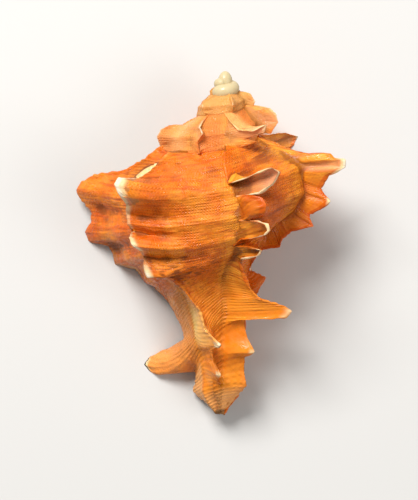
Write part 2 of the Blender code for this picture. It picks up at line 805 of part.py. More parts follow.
def mend(thing):
    """Cuts out the few spots where more than two faces share an edge, and closes them."""
    work = bmesh.new()
    work.from_mesh(thing.data)
    rounds = 0
    for rounds in range(8):
        shared = [edge for edge in work.edges if len(edge.link_faces) != 2]
        if not shared:
            break
        corners = {vert for edge in shared for vert in edge.verts}
        faces = list({face for vert in corners for face in vert.link_faces})
        bmesh.ops.delete(work, geom=faces, context="FACES")
        rims = [edge for edge in work.edges if edge.is_boundary]
        bmesh.ops.holes_fill(work, edges=rims, sides=0)
        bmesh.ops.triangulate(work, faces=work.faces)
    bmesh.ops.recalc_face_normals(work, faces=work.faces)
    work.to_mesh(thing.data)
    work.free()
    return rounds


def set_on_ground(thing):
    """Moves the origin to the ground under the middle of the shell."""
    points = np.array([v.co for v in thing.data.vertices])
    low, high = points.min(axis=0), points.max(axis=0)
    middle = ((low[0] + high[0]) / 2.0, (low[1] + high[1]) / 2.0, low[2])
    for vertex in thing.data.vertices:
        vertex.co = vertex.co - Vector(middle)
    return -Vector(middle)


def finish(thing):
    """Orange calcite look, soft shading over the low ridges, and the shell's collection."""
    glaze = bpy.data.materials.new("orange_shell")
    glaze.use_nodes = True
    surface = glaze.node_tree.nodes["Principled BSDF"]
    surface.inputs["Base Color"].default_value = (0.73, 0.27, 0.06, 1.0)
    surface.inputs["Roughness"].default_value = 0.42
    thing.data.materials.clear()
    thing.data.materials.append(glaze)
    thing.data.shade_smooth()
    thing.data.set_sharp_from_angle(angle=math.radians(38.0))
    group = bpy.data.collections.new("murex_shell")
    bpy.context.scene.collection.children.link(group)
    for collection in list(thing.users_collection):
        collection.objects.unlink(thing)
    group.objects.link(thing)


def main():
    for thing in list(bpy.data.objects):
        bpy.data.objects.remove(thing, do_unlink=True)
    verts, faces = shell_mesh()
    shell = make_object("shell", verts * UNIT, faces)
    verts, faces = protoconch_mesh()
    coil = make_object("coil", verts * UNIT, faces)
    verts, faces = pillar_mesh()
    pillar = make_object("pillar", verts * UNIT, faces)
    combine(shell, [coil, bulb_object(), pillar], "UNION")
    keep_outer_body(shell)
    bpy.ops.mesh.primitive_cube_add(size=60.0 * UNIT)
    ground = bpy.context.object
    ground.location = (0.0, -17.0 * UNIT, -(GROUND_BELOW_APEX + 30.0) * UNIT)
    combine(shell, [ground], "DIFFERENCE")
    keep_outer_body(shell)
    print("rounds of mending", mend(shell))
    set_on_ground(shell)
    finish(shell)


main()
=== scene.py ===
# %% [markdown]
# # A spiny murex shell
# A murex shell is grown, not assembled. The animal adds shell along the rim of its mouth,
# so the whole form is one outline swept along a spiral. Six times a turn it rests and
# flares that rim into a varix, a thin blade with hollow spines. This script grows the
# shell in the same way, as one fine mesh that stands in for the coarse solid.

# %% Load the frame
import math

import bmesh
import bpy
import numpy as np
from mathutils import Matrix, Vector


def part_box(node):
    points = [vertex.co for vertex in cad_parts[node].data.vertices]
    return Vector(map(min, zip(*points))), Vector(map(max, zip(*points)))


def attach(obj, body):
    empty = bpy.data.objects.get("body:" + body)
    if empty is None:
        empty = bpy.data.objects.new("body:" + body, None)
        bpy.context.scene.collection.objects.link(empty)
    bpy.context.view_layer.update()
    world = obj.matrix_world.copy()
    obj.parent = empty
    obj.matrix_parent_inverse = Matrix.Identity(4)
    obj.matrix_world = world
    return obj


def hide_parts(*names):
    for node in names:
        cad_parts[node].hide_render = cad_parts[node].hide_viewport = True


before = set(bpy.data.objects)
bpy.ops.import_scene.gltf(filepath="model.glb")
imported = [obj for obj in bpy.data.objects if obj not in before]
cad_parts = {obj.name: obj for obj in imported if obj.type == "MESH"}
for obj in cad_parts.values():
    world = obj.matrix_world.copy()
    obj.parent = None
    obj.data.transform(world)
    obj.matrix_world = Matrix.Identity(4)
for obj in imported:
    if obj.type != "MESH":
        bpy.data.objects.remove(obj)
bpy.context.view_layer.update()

MM = 0.001
low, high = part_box("shell")
print("solid shell, mm:", [round((b - a) / MM, 1) for a, b in zip(low, high)])

# %% [markdown]
# ## The camera
# The shell lies on its mouth side and the photograph looks straight down on its back, with
# the spire at the top. A long lens far away keeps the depth of the shell from changing its
# outline. The Standard view shows the strong orange as it is, where the softer default
# would turn it to salmon.

# %% Camera
VIEW_HEIGHT = 50.0 * MM
LENS = 500.0
SENSOR = 36.0
lens = bpy.data.cameras.new("camera")
lens.lens = LENS
lens.sensor_fit = "VERTICAL"
lens.sensor_height = SENSOR
lens.sensor_width = SENSOR
lens.clip_end = 10.0
camera = bpy.data.objects.new("camera", lens)
bpy.context.scene.collection.objects.link(camera)
camera.location = (-0.115 * MM, -0.603 * MM, 9.0 * MM + VIEW_HEIGHT * LENS / SENSOR)
bpy.context.scene.camera = camera
bpy.context.scene.view_settings.view_transform = "Standard"
print("camera height, m:", round(camera.location.z, 3))

# %% [markdown]
# ## How the shell grew
# Every turn doubles the size, the whole coil lies with its apex a little raised, and the
# lip is seen at the left. All lengths are millimetres, measured from the apex of the
# spiral.

# %% Growth
TURN_GROWTH = 2.0
LIP_ANGLE = 188.0
AXIS_TILT = 10.0
BODY_START = -400.0
SPIRE_START = -1070.0
SPIRE_EXTRA = 0.55
SPIRE_LEAN = 0.5
LUMEN_DEPTH = 205.0
APEX = np.array([1.085, 16.797, 8.0])
print("lip against first whorl, times:", round(TURN_GROWTH ** (-SPIRE_START / 360.0), 1))

# %% [markdown]
# ## The outline that is swept
# One line runs from the suture, where the whorl joins the one before, over the shoulder
# and the cords, down the neck to the tip of the siphonal canal. A place on it is named by
# its cord number: 2 to 5 are the cords that carry the spines of the whorl, 7 to 9 those
# of the canal. A second line closes the tube along the axis, and two more bound the
# hollow that the animal lived in.

# %% Outlines
# Each place is a cord number, a distance from the axis and a depth below the apex.
LIP = (
    (0.0, 4.5, 8.0),
    (0.5, 5.7, 9.0),
    (1.0, 6.9, 10.0),
    (1.5, 8.0, 11.1),
    (2.0, 8.9, 12.4),
    (3.0, 9.3, 16.0),
    (4.0, 8.6, 18.8),
    (5.0, 7.0, 21.0),
    (6.0, 5.2, 22.9),
    (6.5, 3.9, 25.2),
    (7.0, 2.9, 28.4),
    (8.0, 2.3, 30.6),
    (9.0, 2.0, 32.6),
    (10.0, 0.7, 34.5),
)
INNER = (
    (0.0, 4.0, 8.3),
    (1.0, 3.0, 9.8),
    (2.0, 1.8, 12.4),
    (3.0, 1.0, 16.0),
    (4.0, 0.6, 18.8),
    (5.0, 0.4, 21.0),
    (6.0, 0.3, 22.9),
    (7.0, 0.3, 28.4),
    (8.0, 0.3, 30.6),
    (9.0, 0.3, 32.6),
    (10.0, 0.25, 34.4),
)
LUMEN_OUT = (
    (0.0, 6.0, 10.3),
    (1.0, 7.0, 11.0),
    (2.0, 8.1, 12.9),
    (3.0, 8.5, 16.0),
    (4.0, 7.8, 18.4),
    (5.0, 6.3, 20.3),
    (6.0, 4.4, 22.3),
    (6.5, 3.0, 24.8),
    (7.0, 2.0, 28.2),
    (8.0, 1.5, 30.3),
    (9.0, 1.2, 31.9),
    (10.0, 0.9, 32.9),
)
LUMEN_IN = (
    (0.0, 5.8, 10.5),
    (1.0, 5.4, 11.2),
    (2.0, 4.7, 13.1),
    (3.0, 3.1, 16.0),
    (4.0, 2.3, 18.6),
    (5.0, 1.9, 20.5),
    (6.0, 1.5, 22.5),
    (6.5, 1.2, 24.9),
    (7.0, 0.9, 28.2),
    (8.0, 0.7, 30.3),
    (9.0, 0.6, 31.9),
    (10.0, 0.65, 32.9),
)
GROWTH_POWER = ((0.0, 1.0), (6.5, 1.0), (7.0, 0.92), (8.0, 0.5), (9.0, 0.2), (10.0, 0.09))
print("places on the lip outline:", len(LIP), "length, mm:", LIP[-1][2])

# %% [markdown]
# ## The edges of the varices
# The rim of a varix is a line in space. The ones that show from above each have their own,
# because every spine on the real shell is different; the others share a common edge. A
# point holds a cord number and a place: right of the apex, below it, above the axis.

# %% Edges
EDGES = {
    "lip": (
        (0.0, -5.8, 6.9, -1.2),
        (0.5, -7.9, 8.4, -1.6),
        (1.0, -9.8, 9.4, -2.2),
        (1.5, -12.6, 9.9, -3.2),
        (1.8, -13.8, 10.5, -4.2),
        (2.0, -14.2, 11.4, -4.3),
        (2.3, -13.9, 12.4, -4.3),
        (2.6, -13.0, 13.6, -4.0),
        (2.8, -13.0, 14.7, -4.2),
        (3.0, -13.5, 15.6, -4.9),
        (3.2, -13.2, 16.5, -4.8),
        (3.4, -11.4, 17.0, -4.4),
        (3.8, -10.8, 18.0, -4.2),
        (4.0, -10.5, 18.9, -4.4),
        (4.2, -8.6, 19.3, -4.0),
        (4.8, -7.9, 20.4, -3.9),
        (5.2, -6.8, 21.0, -3.5),
        (6.0, -5.2, 22.8, -2.9),
        (6.5, -4.1, 24.8, -2.5),
        (6.7, -3.5, 26.4, -2.2),
        (6.92, -7.0, 28.4, -2.9),
        (7.0, -7.4, 29.0, -3.0),
        (7.1, -6.8, 29.9, -2.8),
        (7.35, -2.6, 29.6, -1.8),
        (8.0, -2.2, 30.4, -1.6),
        (8.6, -2.7, 31.6, -1.6),
        (9.2, -2.1, 32.4, -1.2),
        (9.6, -0.9, 33.4, -0.8),
        (10.0, 0.3, 34.1, -0.3),
    ),
    "left": (
        (0.0, -5.0, 7.6, 3.4),
        (0.4, -6.1, 8.8, 4.6),
        (0.8, -7.1, 9.7, 6.0),
        (1.3, -8.2, 10.3, 7.4),
        (1.6, -9.1, 10.3, 8.3),
        (1.8, -9.8, 10.3, 8.8),
        (1.95, -10.1, 10.9, 9.0),
        (2.15, -9.7, 12.1, 8.9),
        (2.4, -9.2, 12.9, 8.0),
        (2.7, -9.1, 13.8, 6.7),
        (3.0, -8.9, 14.8, 6.9),
        (3.4, -8.7, 15.6, 6.7),
        (3.75, -8.9, 16.2, 7.4),
        (4.0, -8.5, 17.0, 7.6),
        (4.2, -7.9, 17.4, 6.9),
        (4.5, -7.5, 18.1, 5.7),
        (4.8, -7.4, 19.0, 6.0),
        (5.0, -7.0, 20.1, 6.1),
        (5.2, -6.2, 19.9, 5.6),
        (5.5, -5.2, 20.0, 4.6),
        (6.0, -3.8, 21.1, 4.3),
        (6.6, -2.1, 23.4, 3.9),
        (6.8, -1.5, 25.4, 3.8),
        (7.0, 0.0, 26.9, 4.6),
        (7.3, -0.9, 27.4, 3.4),
        (7.8, -0.7, 28.6, 3.2),
        (8.0, 0.0, 29.9, 3.8),
        (8.4, -0.4, 30.4, 2.6),
        (9.2, 0.2, 31.6, 1.8),
        (9.6, 0.8, 32.2, 1.1),
        (10.0, 0.5, 33.6, 0.2),
    ),
    "mid": (
        (0.0, 0.6, 7.0, 4.2),
        (0.8, 0.5, 8.8, 6.2),
        (1.35, 0.9, 10.8, 7.4),
        (1.6, 2.5, 10.3, 8.8),
        (1.85, 5.0, 9.2, 10.6),
        (2.0, 5.8, 9.6, 11.0),
        (2.12, 5.2, 10.8, 10.4),
        (2.3, 4.0, 11.7, 9.2),
        (2.6, 1.7, 12.1, 7.3),
        (2.74, 2.9, 12.0, 8.3),
        (2.88, 4.1, 12.3, 8.9),
        (3.0, 4.5, 13.0, 9.2),
        (3.14, 4.3, 13.8, 9.0),
        (3.28, 3.2, 14.3, 8.2),
        (3.45, 1.9, 14.4, 7.4),
        (3.6, 2.2, 14.5, 7.6),
        (3.74, 3.7, 14.5, 8.5),
        (3.88, 4.6, 14.8, 9.0),
        (4.0, 4.8, 15.4, 9.1),
        (4.12, 4.4, 15.9, 8.9),
        (4.26, 3.3, 16.2, 8.0),
        (4.4, 2.2, 16.3, 7.0),
        (4.6, 1.4, 17.0, 6.4),
        (4.8, 2.8, 17.1, 7.2),
        (5.0, 4.1, 17.4, 7.6),
        (5.12, 3.8, 18.0, 7.2),
        (5.35, 2.2, 18.2, 5.8),
        (5.6, 2.0, 18.6, 5.2),
        (6.0, 2.4, 19.8, 4.8),
        (6.4, 3.0, 21.2, 4.6),
        (6.7, 4.0, 22.3, 4.6),
        (6.92, 6.4, 23.0, 4.5),
        (7.0, 7.0, 23.5, 4.4),
        (7.07, 6.4, 24.1, 4.3),
        (7.15, 5.0, 24.3, 4.2),
        (7.23, 3.7, 24.1, 3.9),
        (7.32, 2.6, 23.8, 3.4),
        (7.42, 2.3, 24.6, 2.8),
        (7.7, 2.6, 26.0, 2.8),
        (8.0, 3.3, 27.6, 3.2),
        (8.3, 2.4, 28.2, 2.4),
        (8.7, 2.3, 29.6, 2.0),
        (9.0, 2.5, 31.0, 2.0),
        (9.3, 2.0, 31.6, 1.5),
        (9.6, 1.4, 32.2, 1.0),
        (10.0, 0.6, 33.6, 0.2),
    ),
    "right": (
        (0.0, 4.6, 6.4, 0.6),
        (0.8, 7.2, 7.4, 0.9),
        (1.35, 9.2, 7.8, 1.7),
        (1.6, 10.8, 7.7, 2.3),
        (1.75, 11.3, 8.2, 2.5),
        (1.88, 12.1, 8.3, 2.8),
        (2.05, 12.1, 9.1, 2.8),
        (2.25, 10.7, 9.9, 2.2),
        (2.55, 9.9, 11.2, 1.8),
        (2.8, 10.3, 11.9, 2.0),
        (3.0, 10.7, 12.5, 2.4),
        (3.2, 9.9, 13.2, 2.0),
        (3.5, 8.8, 13.8, 1.8),
        (4.0, 9.1, 15.0, 2.4),
        (4.3, 7.0, 15.4, 1.6),
        (4.7, 6.1, 16.2, 1.4),
        (5.0, 5.8, 17.0, 1.6),
        (5.4, 4.2, 17.2, 1.0),
        (6.0, 3.2, 18.4, 0.7),
        (6.5, 3.0, 18.9, 0.5),
        (6.75, 2.7, 19.4, 0.5),
        (7.0, 4.2, 20.2, 0.8),
        (7.4, 2.4, 23.6, 0.5),
        (8.0, 2.5, 26.8, 0.6),
        (8.5, 2.4, 28.6, 0.4),
        (9.0, 2.4, 30.6, 0.4),
        (9.4, 1.8, 31.7, 0.3),
        (9.7, 1.1, 32.8, 0.2),
        (10.0, 0.4, 33.9, 0.1),
    ),
    "under_right": (
        (0.0, 2.2, 5.0, -2.6),
        (1.0, 4.0, 5.9, -4.2),
        (1.5, 6.4, 5.5, -6.0),
        (2.0, 7.5, 5.9, -6.8),
        (2.25, 7.2, 6.8, -6.8),
        (2.5, 5.6, 8.0, -6.3),
        (2.7, 4.9, 9.2, -5.9),
        (3.0, 6.0, 10.4, -6.3),
        (3.4, 4.5, 11.2, -5.5),
        (4.0, 5.2, 12.7, -5.9),
        (4.4, 3.8, 13.2, -4.7),
        (5.0, 4.1, 14.4, -4.9),
        (5.5, 2.8, 14.8, -3.6),
        (6.0, 2.6, 15.6, -3.2),
        (6.6, 2.2, 17.4, -2.8),
        (7.0, 3.0, 19.6, -3.4),
        (7.4, 1.8, 20.8, -2.1),
        (8.0, 2.0, 24.6, -2.3),
        (8.5, 1.6, 26.0, -1.8),
        (9.0, 1.6, 28.4, -1.8),
        (10.0, 0.5, 31.0, -0.5),
    ),
    "spire_left": (
        (0.0, -2.5, 4.0, -0.3),
        (0.8, -3.9, 4.8, -0.5),
        (1.2, -5.2, 4.9, -0.8),
        (1.6, -6.0, 5.3, -1.2),
        (2.0, -6.2, 6.0, -1.4),
        (2.4, -6.1, 6.8, -1.4),
        (2.8, -5.9, 7.4, -1.2),
        (3.4, -5.6, 8.2, -0.8),
        (10.0, -4.4, 9.8, -0.6),
    ),
    "spire_right": (
        (0.0, 2.4, 2.7, 0.2),
        (0.8, 3.6, 3.0, 0.5),
        (1.2, 4.9, 3.2, 0.9),
        (1.6, 5.5, 3.8, 1.2),
        (2.0, 5.6, 4.6, 1.3),
        (2.4, 5.2, 5.3, 1.1),
        (2.8, 4.9, 5.8, 0.8),
        (3.4, 4.3, 6.2, 0.5),
        (10.0, 3.2, 7.2, 0.3),
    ),
    "spire_back": (
        (0.0, -1.2, 3.9, 2.0),
        (0.8, -1.8, 4.6, 3.3),
        (1.4, -2.1, 5.2, 4.3),
        (2.0, -1.7, 5.8, 4.9),
        (2.3, -2.3, 6.6, 4.4),
        (2.7, -2.1, 7.8, 4.6),
        (3.4, -1.4, 8.7, 4.0),
        (10.0, -1.2, 8.8, 3.0),
    ),
    "spire_mid": (
        (0.0, 0.4, 3.7, 2.3),
        (0.8, 1.1, 4.7, 3.6),
        (1.3, 1.9, 5.5, 4.4),
        (1.65, 3.2, 5.6, 5.2),
        (1.95, 4.5, 4.9, 5.6),
        (2.15, 4.3, 5.7, 5.2),
        (2.45, 2.4, 6.3, 4.0),
        (2.7, 3.8, 6.6, 4.2),
        (3.0, 2.4, 7.3, 3.6),
        (10.0, 1.6, 8.5, 2.6),
    ),
    "top_left": (
        (0.0, -1.2, 1.9, 0.0),
        (0.8, -1.5, 2.2, 0.0),
        (1.4, -1.9, 2.5, -0.1),
        (2.0, -2.2, 3.1, -0.2),
        (2.5, -2.4, 3.8, -0.2),
        (3.4, -2.3, 4.3, -0.1),
        (10.0, -1.8, 4.8, 0.0),
    ),
    "top_right": (
        (0.0, 1.6, 1.4, 0.1),
        (0.8, 2.2, 1.5, 0.3),
        (1.4, 2.9, 1.8, 0.5),
        (2.0, 3.3, 2.5, 0.6),
        (2.5, 3.2, 3.0, 0.5),
        (3.4, 2.6, 3.4, 0.2),
        (10.0, 1.8, 3.8, 0.1),
    ),
}

# %% [markdown]
# Out of sight the blades follow a rule instead: how far the edge stands out, rises and
# leans towards the next growth, all in proportion to the size at that age.

# %% Common edges
GROWN = {
    "common": (
        (0.0, 0.5, 0.5, 0.1),
        (1.0, 1.2, 0.9, 0.4),
        (1.6, 3.0, 1.0, 0.7),
        (2.0, 5.4, 0.7, 1.5),
        (2.4, 2.6, -0.1, 0.7),
        (2.7, 1.9, -0.3, 0.5),
        (3.0, 3.7, -0.8, 1.1),
        (3.4, 1.7, -0.6, 0.5),
        (4.0, 3.1, -1.3, 0.9),
        (4.4, 1.4, -0.7, 0.4),
        (5.0, 2.5, -1.6, 0.8),
        (5.5, 1.0, -0.7, 0.3),
        (6.0, 0.9, -0.4, 0.2),
        (6.6, 0.8, -0.3, 0.2),
        (7.0, 2.7, -1.4, 0.5),
        (7.4, 0.8, -0.3, 0.2),
        (8.0, 1.4, -1.0, 0.4),
        (8.5, 0.6, -0.2, 0.1),
        (9.0, 0.9, -0.5, 0.2),
        (10.0, 0.05, 0.0, 0.0),
    ),
    "spire": (
        (0.0, 0.2, 0.3, 0.1),
        (0.8, 1.1, 0.9, 0.3),
        (1.4, 2.7, 1.3, 0.8),
        (1.8, 3.5, 0.9, 1.1),
        (2.2, 3.5, 0.1, 1.1),
        (2.6, 2.7, -0.2, 0.8),
        (3.2, 2.4, 0.0, 0.6),
        (10.0, 2.0, 0.0, 0.5),
    ),
}
VARICES = (
    (0.0, "lip"),
    (-56.0, "left"),
    (-120.0, "mid"),
    (-180.0, "right"),
    (-240.0, "under_right"),
    (-300.0, "common"),
    (-360.0, "spire_left"),
    (-420.0, "spire_back"),
    (-480.0, "spire_mid"),
    (-540.0, "spire_right"),
    (-600.0, "spire"),
    (-660.0, "spire"),
    (-720.0, "top_left"),
    (-780.0, "spire"),
    (-840.0, "spire"),
    (-900.0, "top_right"),
    (-960.0, "spire"),
    (-1020.0, "spire"),
    (-1080.0, "spire"),
    (-1140.0, "spire"),
)
LIP_VARIX, LEFT_VARIX, MID_VARIX, RIGHT_VARIX = range(4)
print("varices:", len(VARICES), "edges of their own:", len(EDGES))

# %% [markdown]
# ## Helpers for outlines
# An edge has corners at its spines, so it is read half straight and half eased. The lip
# outline has none, so it is read through a smooth cubic curve.

# %% Reading the outlines
def edge_value(rows, cord, column):
    rows = np.array(rows)
    at = np.clip(cord, rows[0, 0], rows[-1, 0])
    index = np.clip(np.searchsorted(rows[:, 0], at, side="right") - 1, 0, len(rows) - 2)
    start, end = rows[index], rows[index + 1]
    part = (at - start[..., 0]) / (end[..., 0] - start[..., 0])
    part = 0.5 * part + 0.5 * (part * part * (3.0 - 2.0 * part))
    return start[..., column] * (1.0 - part) + end[..., column] * part


def outline_value(rows, cord, column):
    rows = np.array(rows)
    x, y = rows[:, 0], rows[:, column]
    slope = np.gradient(y, x)
    at = np.clip(cord, x[0], x[-1])
    index = np.clip(np.searchsorted(x, at, side="right") - 1, 0, len(x) - 2)
    width = x[index + 1] - x[index]
    t = (at - x[index]) / width
    return (
        (2 * t**3 - 3 * t**2 + 1) * y[index]
        + (t**3 - 2 * t**2 + t) * width * slope[index]
        + (3 * t**2 - 2 * t**3) * y[index + 1]
        + (t**3 - t**2) * width * slope[index + 1]
    )


print("cords on the lip outline:", LIP[0][0], "to", LIP[-1][0])

# %% [markdown]
# Then a place on the outline is put on the spiral: scaled down by its age, turned round
# the axis, and tilted with the whole coil. The youngest whorls are made a little wider
# and set a little to the right, as the photograph shows.

# %% Onto the spiral
def tilt(points):
    c, s = math.cos(math.radians(AXIS_TILT)), math.sin(math.radians(AXIS_TILT))
    x, y, z = points[..., 0], points[..., 1], points[..., 2]
    return np.stack([x, y * c - z * s, y * s + z * c], axis=-1)


def growth(turned, cord):
    power = np.interp(cord, [p[0] for p in GROWTH_POWER], [p[1] for p in GROWTH_POWER])
    return TURN_GROWTH ** (turned / 360.0 * power)


def directions(turned):
    """Outwards, ahead in growth and up towards the apex, at one angle of growth."""
    phi = math.radians(LIP_ANGLE + turned)
    out = np.array([math.cos(phi), 0.0, math.sin(phi)])
    ahead = np.array([-math.sin(phi), 0.0, math.cos(phi)])
    return tilt(out), tilt(ahead), tilt(np.array([0.0, 1.0, 0.0]))


def on_outline(outline, turned, cord):
    scale = growth(turned, cord)
    young = (1.0 - TURN_GROWTH ** (turned / 360.0)) ** 2
    radius = outline_value(outline, cord, 1) * scale + SPIRE_EXTRA * young
    depth = outline_value(outline, cord, 2) * scale
    phi = np.radians(LIP_ANGLE + turned)
    points = [radius * np.cos(phi) + SPIRE_LEAN * young, -depth, radius * np.sin(phi)]
    return tilt(np.stack(points, axis=-1))


print("shoulder of the lip, mm:", on_outline(LIP, 0.0, np.array([2.0]))[0].round(1))

# %% [markdown]
# ## The digits
# On every varix the edge is drawn out into digits, and each digit is a spine. Some stay
# open gutters, others curl over in front until only a seam is left. A digit is a cord
# number, a half width, the depth of its hollow, and how far it is closed, from 0 to 1.

# %% Digits
PLAIN_DIGITS = (
    (2.0, 0.45, 1.1, 0.3),
    (3.0, 0.42, 0.9, 0.3),
    (4.0, 0.42, 0.7, 0.3),
    (5.0, 0.45, 0.5, 0.2),
    (7.0, 0.28, 0.7, 1.0),
    (8.0, 0.35, 0.4, 1.0),
)
OWN_DIGITS = {
    "left": (
        (2.05, 0.75, 2.6, 0.0),
        (3.1, 0.30, 0.6, 0.0),
        (3.95, 0.50, 1.9, 0.0),
        (4.95, 0.45, 1.6, 0.0),
        (7.0, 0.32, 1.0, 1.0),
        (8.0, 0.45, 0.8, 1.0),
    ),
    "mid": (
        (1.95, 0.50, 1.5, 0.25),
        (3.0, 0.42, 1.5, 1.0),
        (4.0, 0.36, 1.2, 0.3),
        (5.0, 0.32, 1.0, 0.4),
        (7.0, 0.32, 1.1, 1.0),
        (8.0, 0.42, 0.9, 1.0),
    ),
    "right": (
        (2.0, 0.55, 1.6, 0.75),
        (3.0, 0.45, 1.2, 0.6),
        (4.0, 0.42, 0.9, 0.3),
        (5.0, 0.40, 0.6, 0.2),
        (7.0, 0.28, 0.8, 1.0),
        (8.0, 0.35, 0.5, 1.0),
    ),
}
SEAM = 0.24


def bump_at(cord, centre, half):
    return np.clip(1.0 - ((cord - centre) / half) ** 2, 0.0, 1.0)


def any_digit(cord, width=1.0):
    """1 in the middle of a digit, 0 between digits."""
    return np.max([bump_at(cord, d[0], d[1] * width) for d in PLAIN_DIGITS], axis=0)


def digit_folds(name, cord):
    """How deep the back of a blade is folded, and how far its front is."""
    back, front = np.zeros_like(cord), np.zeros_like(cord)
    for centre, half, depth, closed in OWN_DIGITS.get(name, PLAIN_DIGITS):
        near = bump_at(cord, centre, half)
        seam = np.exp(-(((cord - centre) / (SEAM * half)) ** 2)) * (0.0 < closed < 1.0)
        back += depth * near
        front += depth * near * (1.0 - closed * (2.0 - 1.1 * seam))
    return back, front


print("varices with digits of their own:", ", ".join(OWN_DIGITS))

# %% [markdown]
# ## The blades
# A blade is the way from the plain outline to the edge of its varix. Its foot reaches a
# little ahead of the edge, and furthest on the canal. Low ridges run on from the digits
# round the whorl, and shell laid on later half buries the varix at the right.

# %% Blades
ROOT = math.degrees(1.0 / 9.0)
CORD_HEIGHT = 0.30
CORD_HALF = 0.22
CANAL_CORD = 5.3
CANAL_ROOT = 1.6
SPIRE_VARIX = -360.0
COVERED_CORD = 3.2
FILL = 1.7
FILL_END = -125.0
FILL_FADE = 48.0


def blade(number, cord):
    turned, name = VARICES[number]
    out, ahead, up = directions(turned)
    scale = growth(turned, cord)[..., None]
    if name in GROWN:
        rows = GROWN[name]
        shift = (
            edge_value(rows, cord, 1)[..., None] * out
            + edge_value(rows, cord, 2)[..., None] * up
            + edge_value(rows, cord, 3)[..., None] * ahead
        ) * scale
    else:
        rows = EDGES[name]
        below = edge_value(rows, cord, 2)
        height = edge_value(rows, cord, 3) - below * math.tan(math.radians(AXIS_TILT))
        target = np.stack([edge_value(rows, cord, 1), -below, height], axis=-1)
        shift = target - on_outline(LIP, turned, cord)
    if turned <= SPIRE_VARIX:
        shift = shift * np.clip((COVERED_CORD - cord) / 0.5, 0.0, 1.0)[..., None]
    return shift


def cord_ridges(cord):
    height = np.zeros_like(cord)
    for centre, _, depth, _ in PLAIN_DIGITS:
        height += CORD_HEIGHT * np.exp(-(((cord - centre) / CORD_HALF) ** 2)) * depth
    return height


def root_angle(cord):
    """How far the foot of a varix reaches ahead of its edge, further on the canal."""
    part = np.clip(cord - CANAL_CORD, 0.0, 1.0)
    return ROOT * (1.0 + CANAL_ROOT * part * part * (3.0 - 2.0 * part))


def filled(turned, cord):
    """Shell laid on later in front of the varix at the right, which is half buried."""
    start = np.clip((turned - VARICES[RIGHT_VARIX][0]) / ROOT, 0.0, 1.0)
    fade = np.clip((FILL_END - turned) / FILL_FADE, 0.0, 1.0)
    return FILL * start * fade**1.5 * bump_at(cord, 2.7, 2.0)


stands_out = float(np.linalg.norm(blade(LEFT_VARIX, np.array([2.0]))))
print("left varix stands out at its shoulder, mm:", round(stands_out, 1))

# %% [markdown]
# ## One growth line
# A row of points is one moment of growth. `lift` carries it from the plain whorl, 0, out
# to the edge of its varix, 1. `face` is 0 on the back of the blade and 1 on its front.
# The horns of the canal droop, by a different amount on each varix.

# %% Rows of growth
RIM_THICK = 0.36
SPINE_DROOP = {"lip": 0.6, "mid": 0.1}
PLAIN_DROOP = 0.4
HORN_CORD, HORN_HALF = 7.0, 0.3


def outer_row(number, cord, row_angle, lift, face):
    start, end, along = row_angle
    shift = blade(number, cord)
    back, front = digit_folds(VARICES[number][1], cord)
    fold = (back * (1.0 - face) + front * face)[..., None]
    foot = root_angle(cord)
    if along <= 1.0:
        turned = start + foot + (end - start - foot) * along
    else:
        turned = end + foot * (along - 1.0)
    out, ahead, up = directions(start + ROOT + (end - start - ROOT) * min(along, 1.0))
    scale = growth(turned, cord)[..., None]
    points = on_outline(LIP, turned, cord) + cord_ridges(cord)[..., None] * scale * out
    points = points + filled(turned, cord)[..., None] * out * (1.0 - lift)
    hollow = lift**0.8 * (1.0 - lift**4)
    points = points + shift * lift - ahead * fold * scale * hollow
    droop = SPINE_DROOP.get(VARICES[number][1], PLAIN_DROOP)
    droop = droop * bump_at(cord, HORN_CORD, HORN_HALF) * 4.0 * lift * (1.0 - lift)
    points = points - up * droop[..., None] * scale
    length = np.linalg.norm(shift, axis=-1, keepdims=True)
    round_off = 0.5 * RIM_THICK * math.sin(math.pi * face) * min(1.0, lift) ** 8
    points = points + shift / np.maximum(length, 0.5) * round_off * scale
    return points + ahead * face * RIM_THICK * scale * min(1.0, 0.25 + 0.75 * lift)


print("thickness at the rims, mm:", RIM_THICK)

# %% [markdown]
# ## How fine the mesh is
# The columns crowd together at the digits, where the edge bends most. The rows crowd
# towards each rim, and a few more of them round the rim off.

# %% Columns and rows
COLUMNS = 186
INNER_COLUMNS = 9
RISE_ROWS = 40
FALL_ROWS = 9
FEW_FALL_ROWS = 4
RIM_FACES = (0.15, 0.38, 0.62, 0.85)
RISE_POWER = 2.5
RISE_FLAT = 1.9
RISE_CROWDING = 1.6
FALL_CROWDING = 1.4
LAST_WHORL = -370.0


def column_places():
    cord = np.linspace(0.0, 10.0, 4001)
    radius, depth = outline_value(LIP, cord, 1), outline_value(LIP, cord, 2)
    length = np.hypot(np.gradient(radius, cord), np.gradient(depth, cord))
    weight = length * (1.0 + 1.3 * any_digit(cord, 1.2))
    total = np.concatenate([[0.0], np.cumsum(0.5 * (weight[1:] + weight[:-1]))])
    arc = np.concatenate([[0.0], np.cumsum(0.5 * (length[1:] + length[:-1]) * cord[1])])
    places = np.interp(np.linspace(0.0, total[-1], COLUMNS), total, cord)
    return places, np.interp(places, cord, arc)


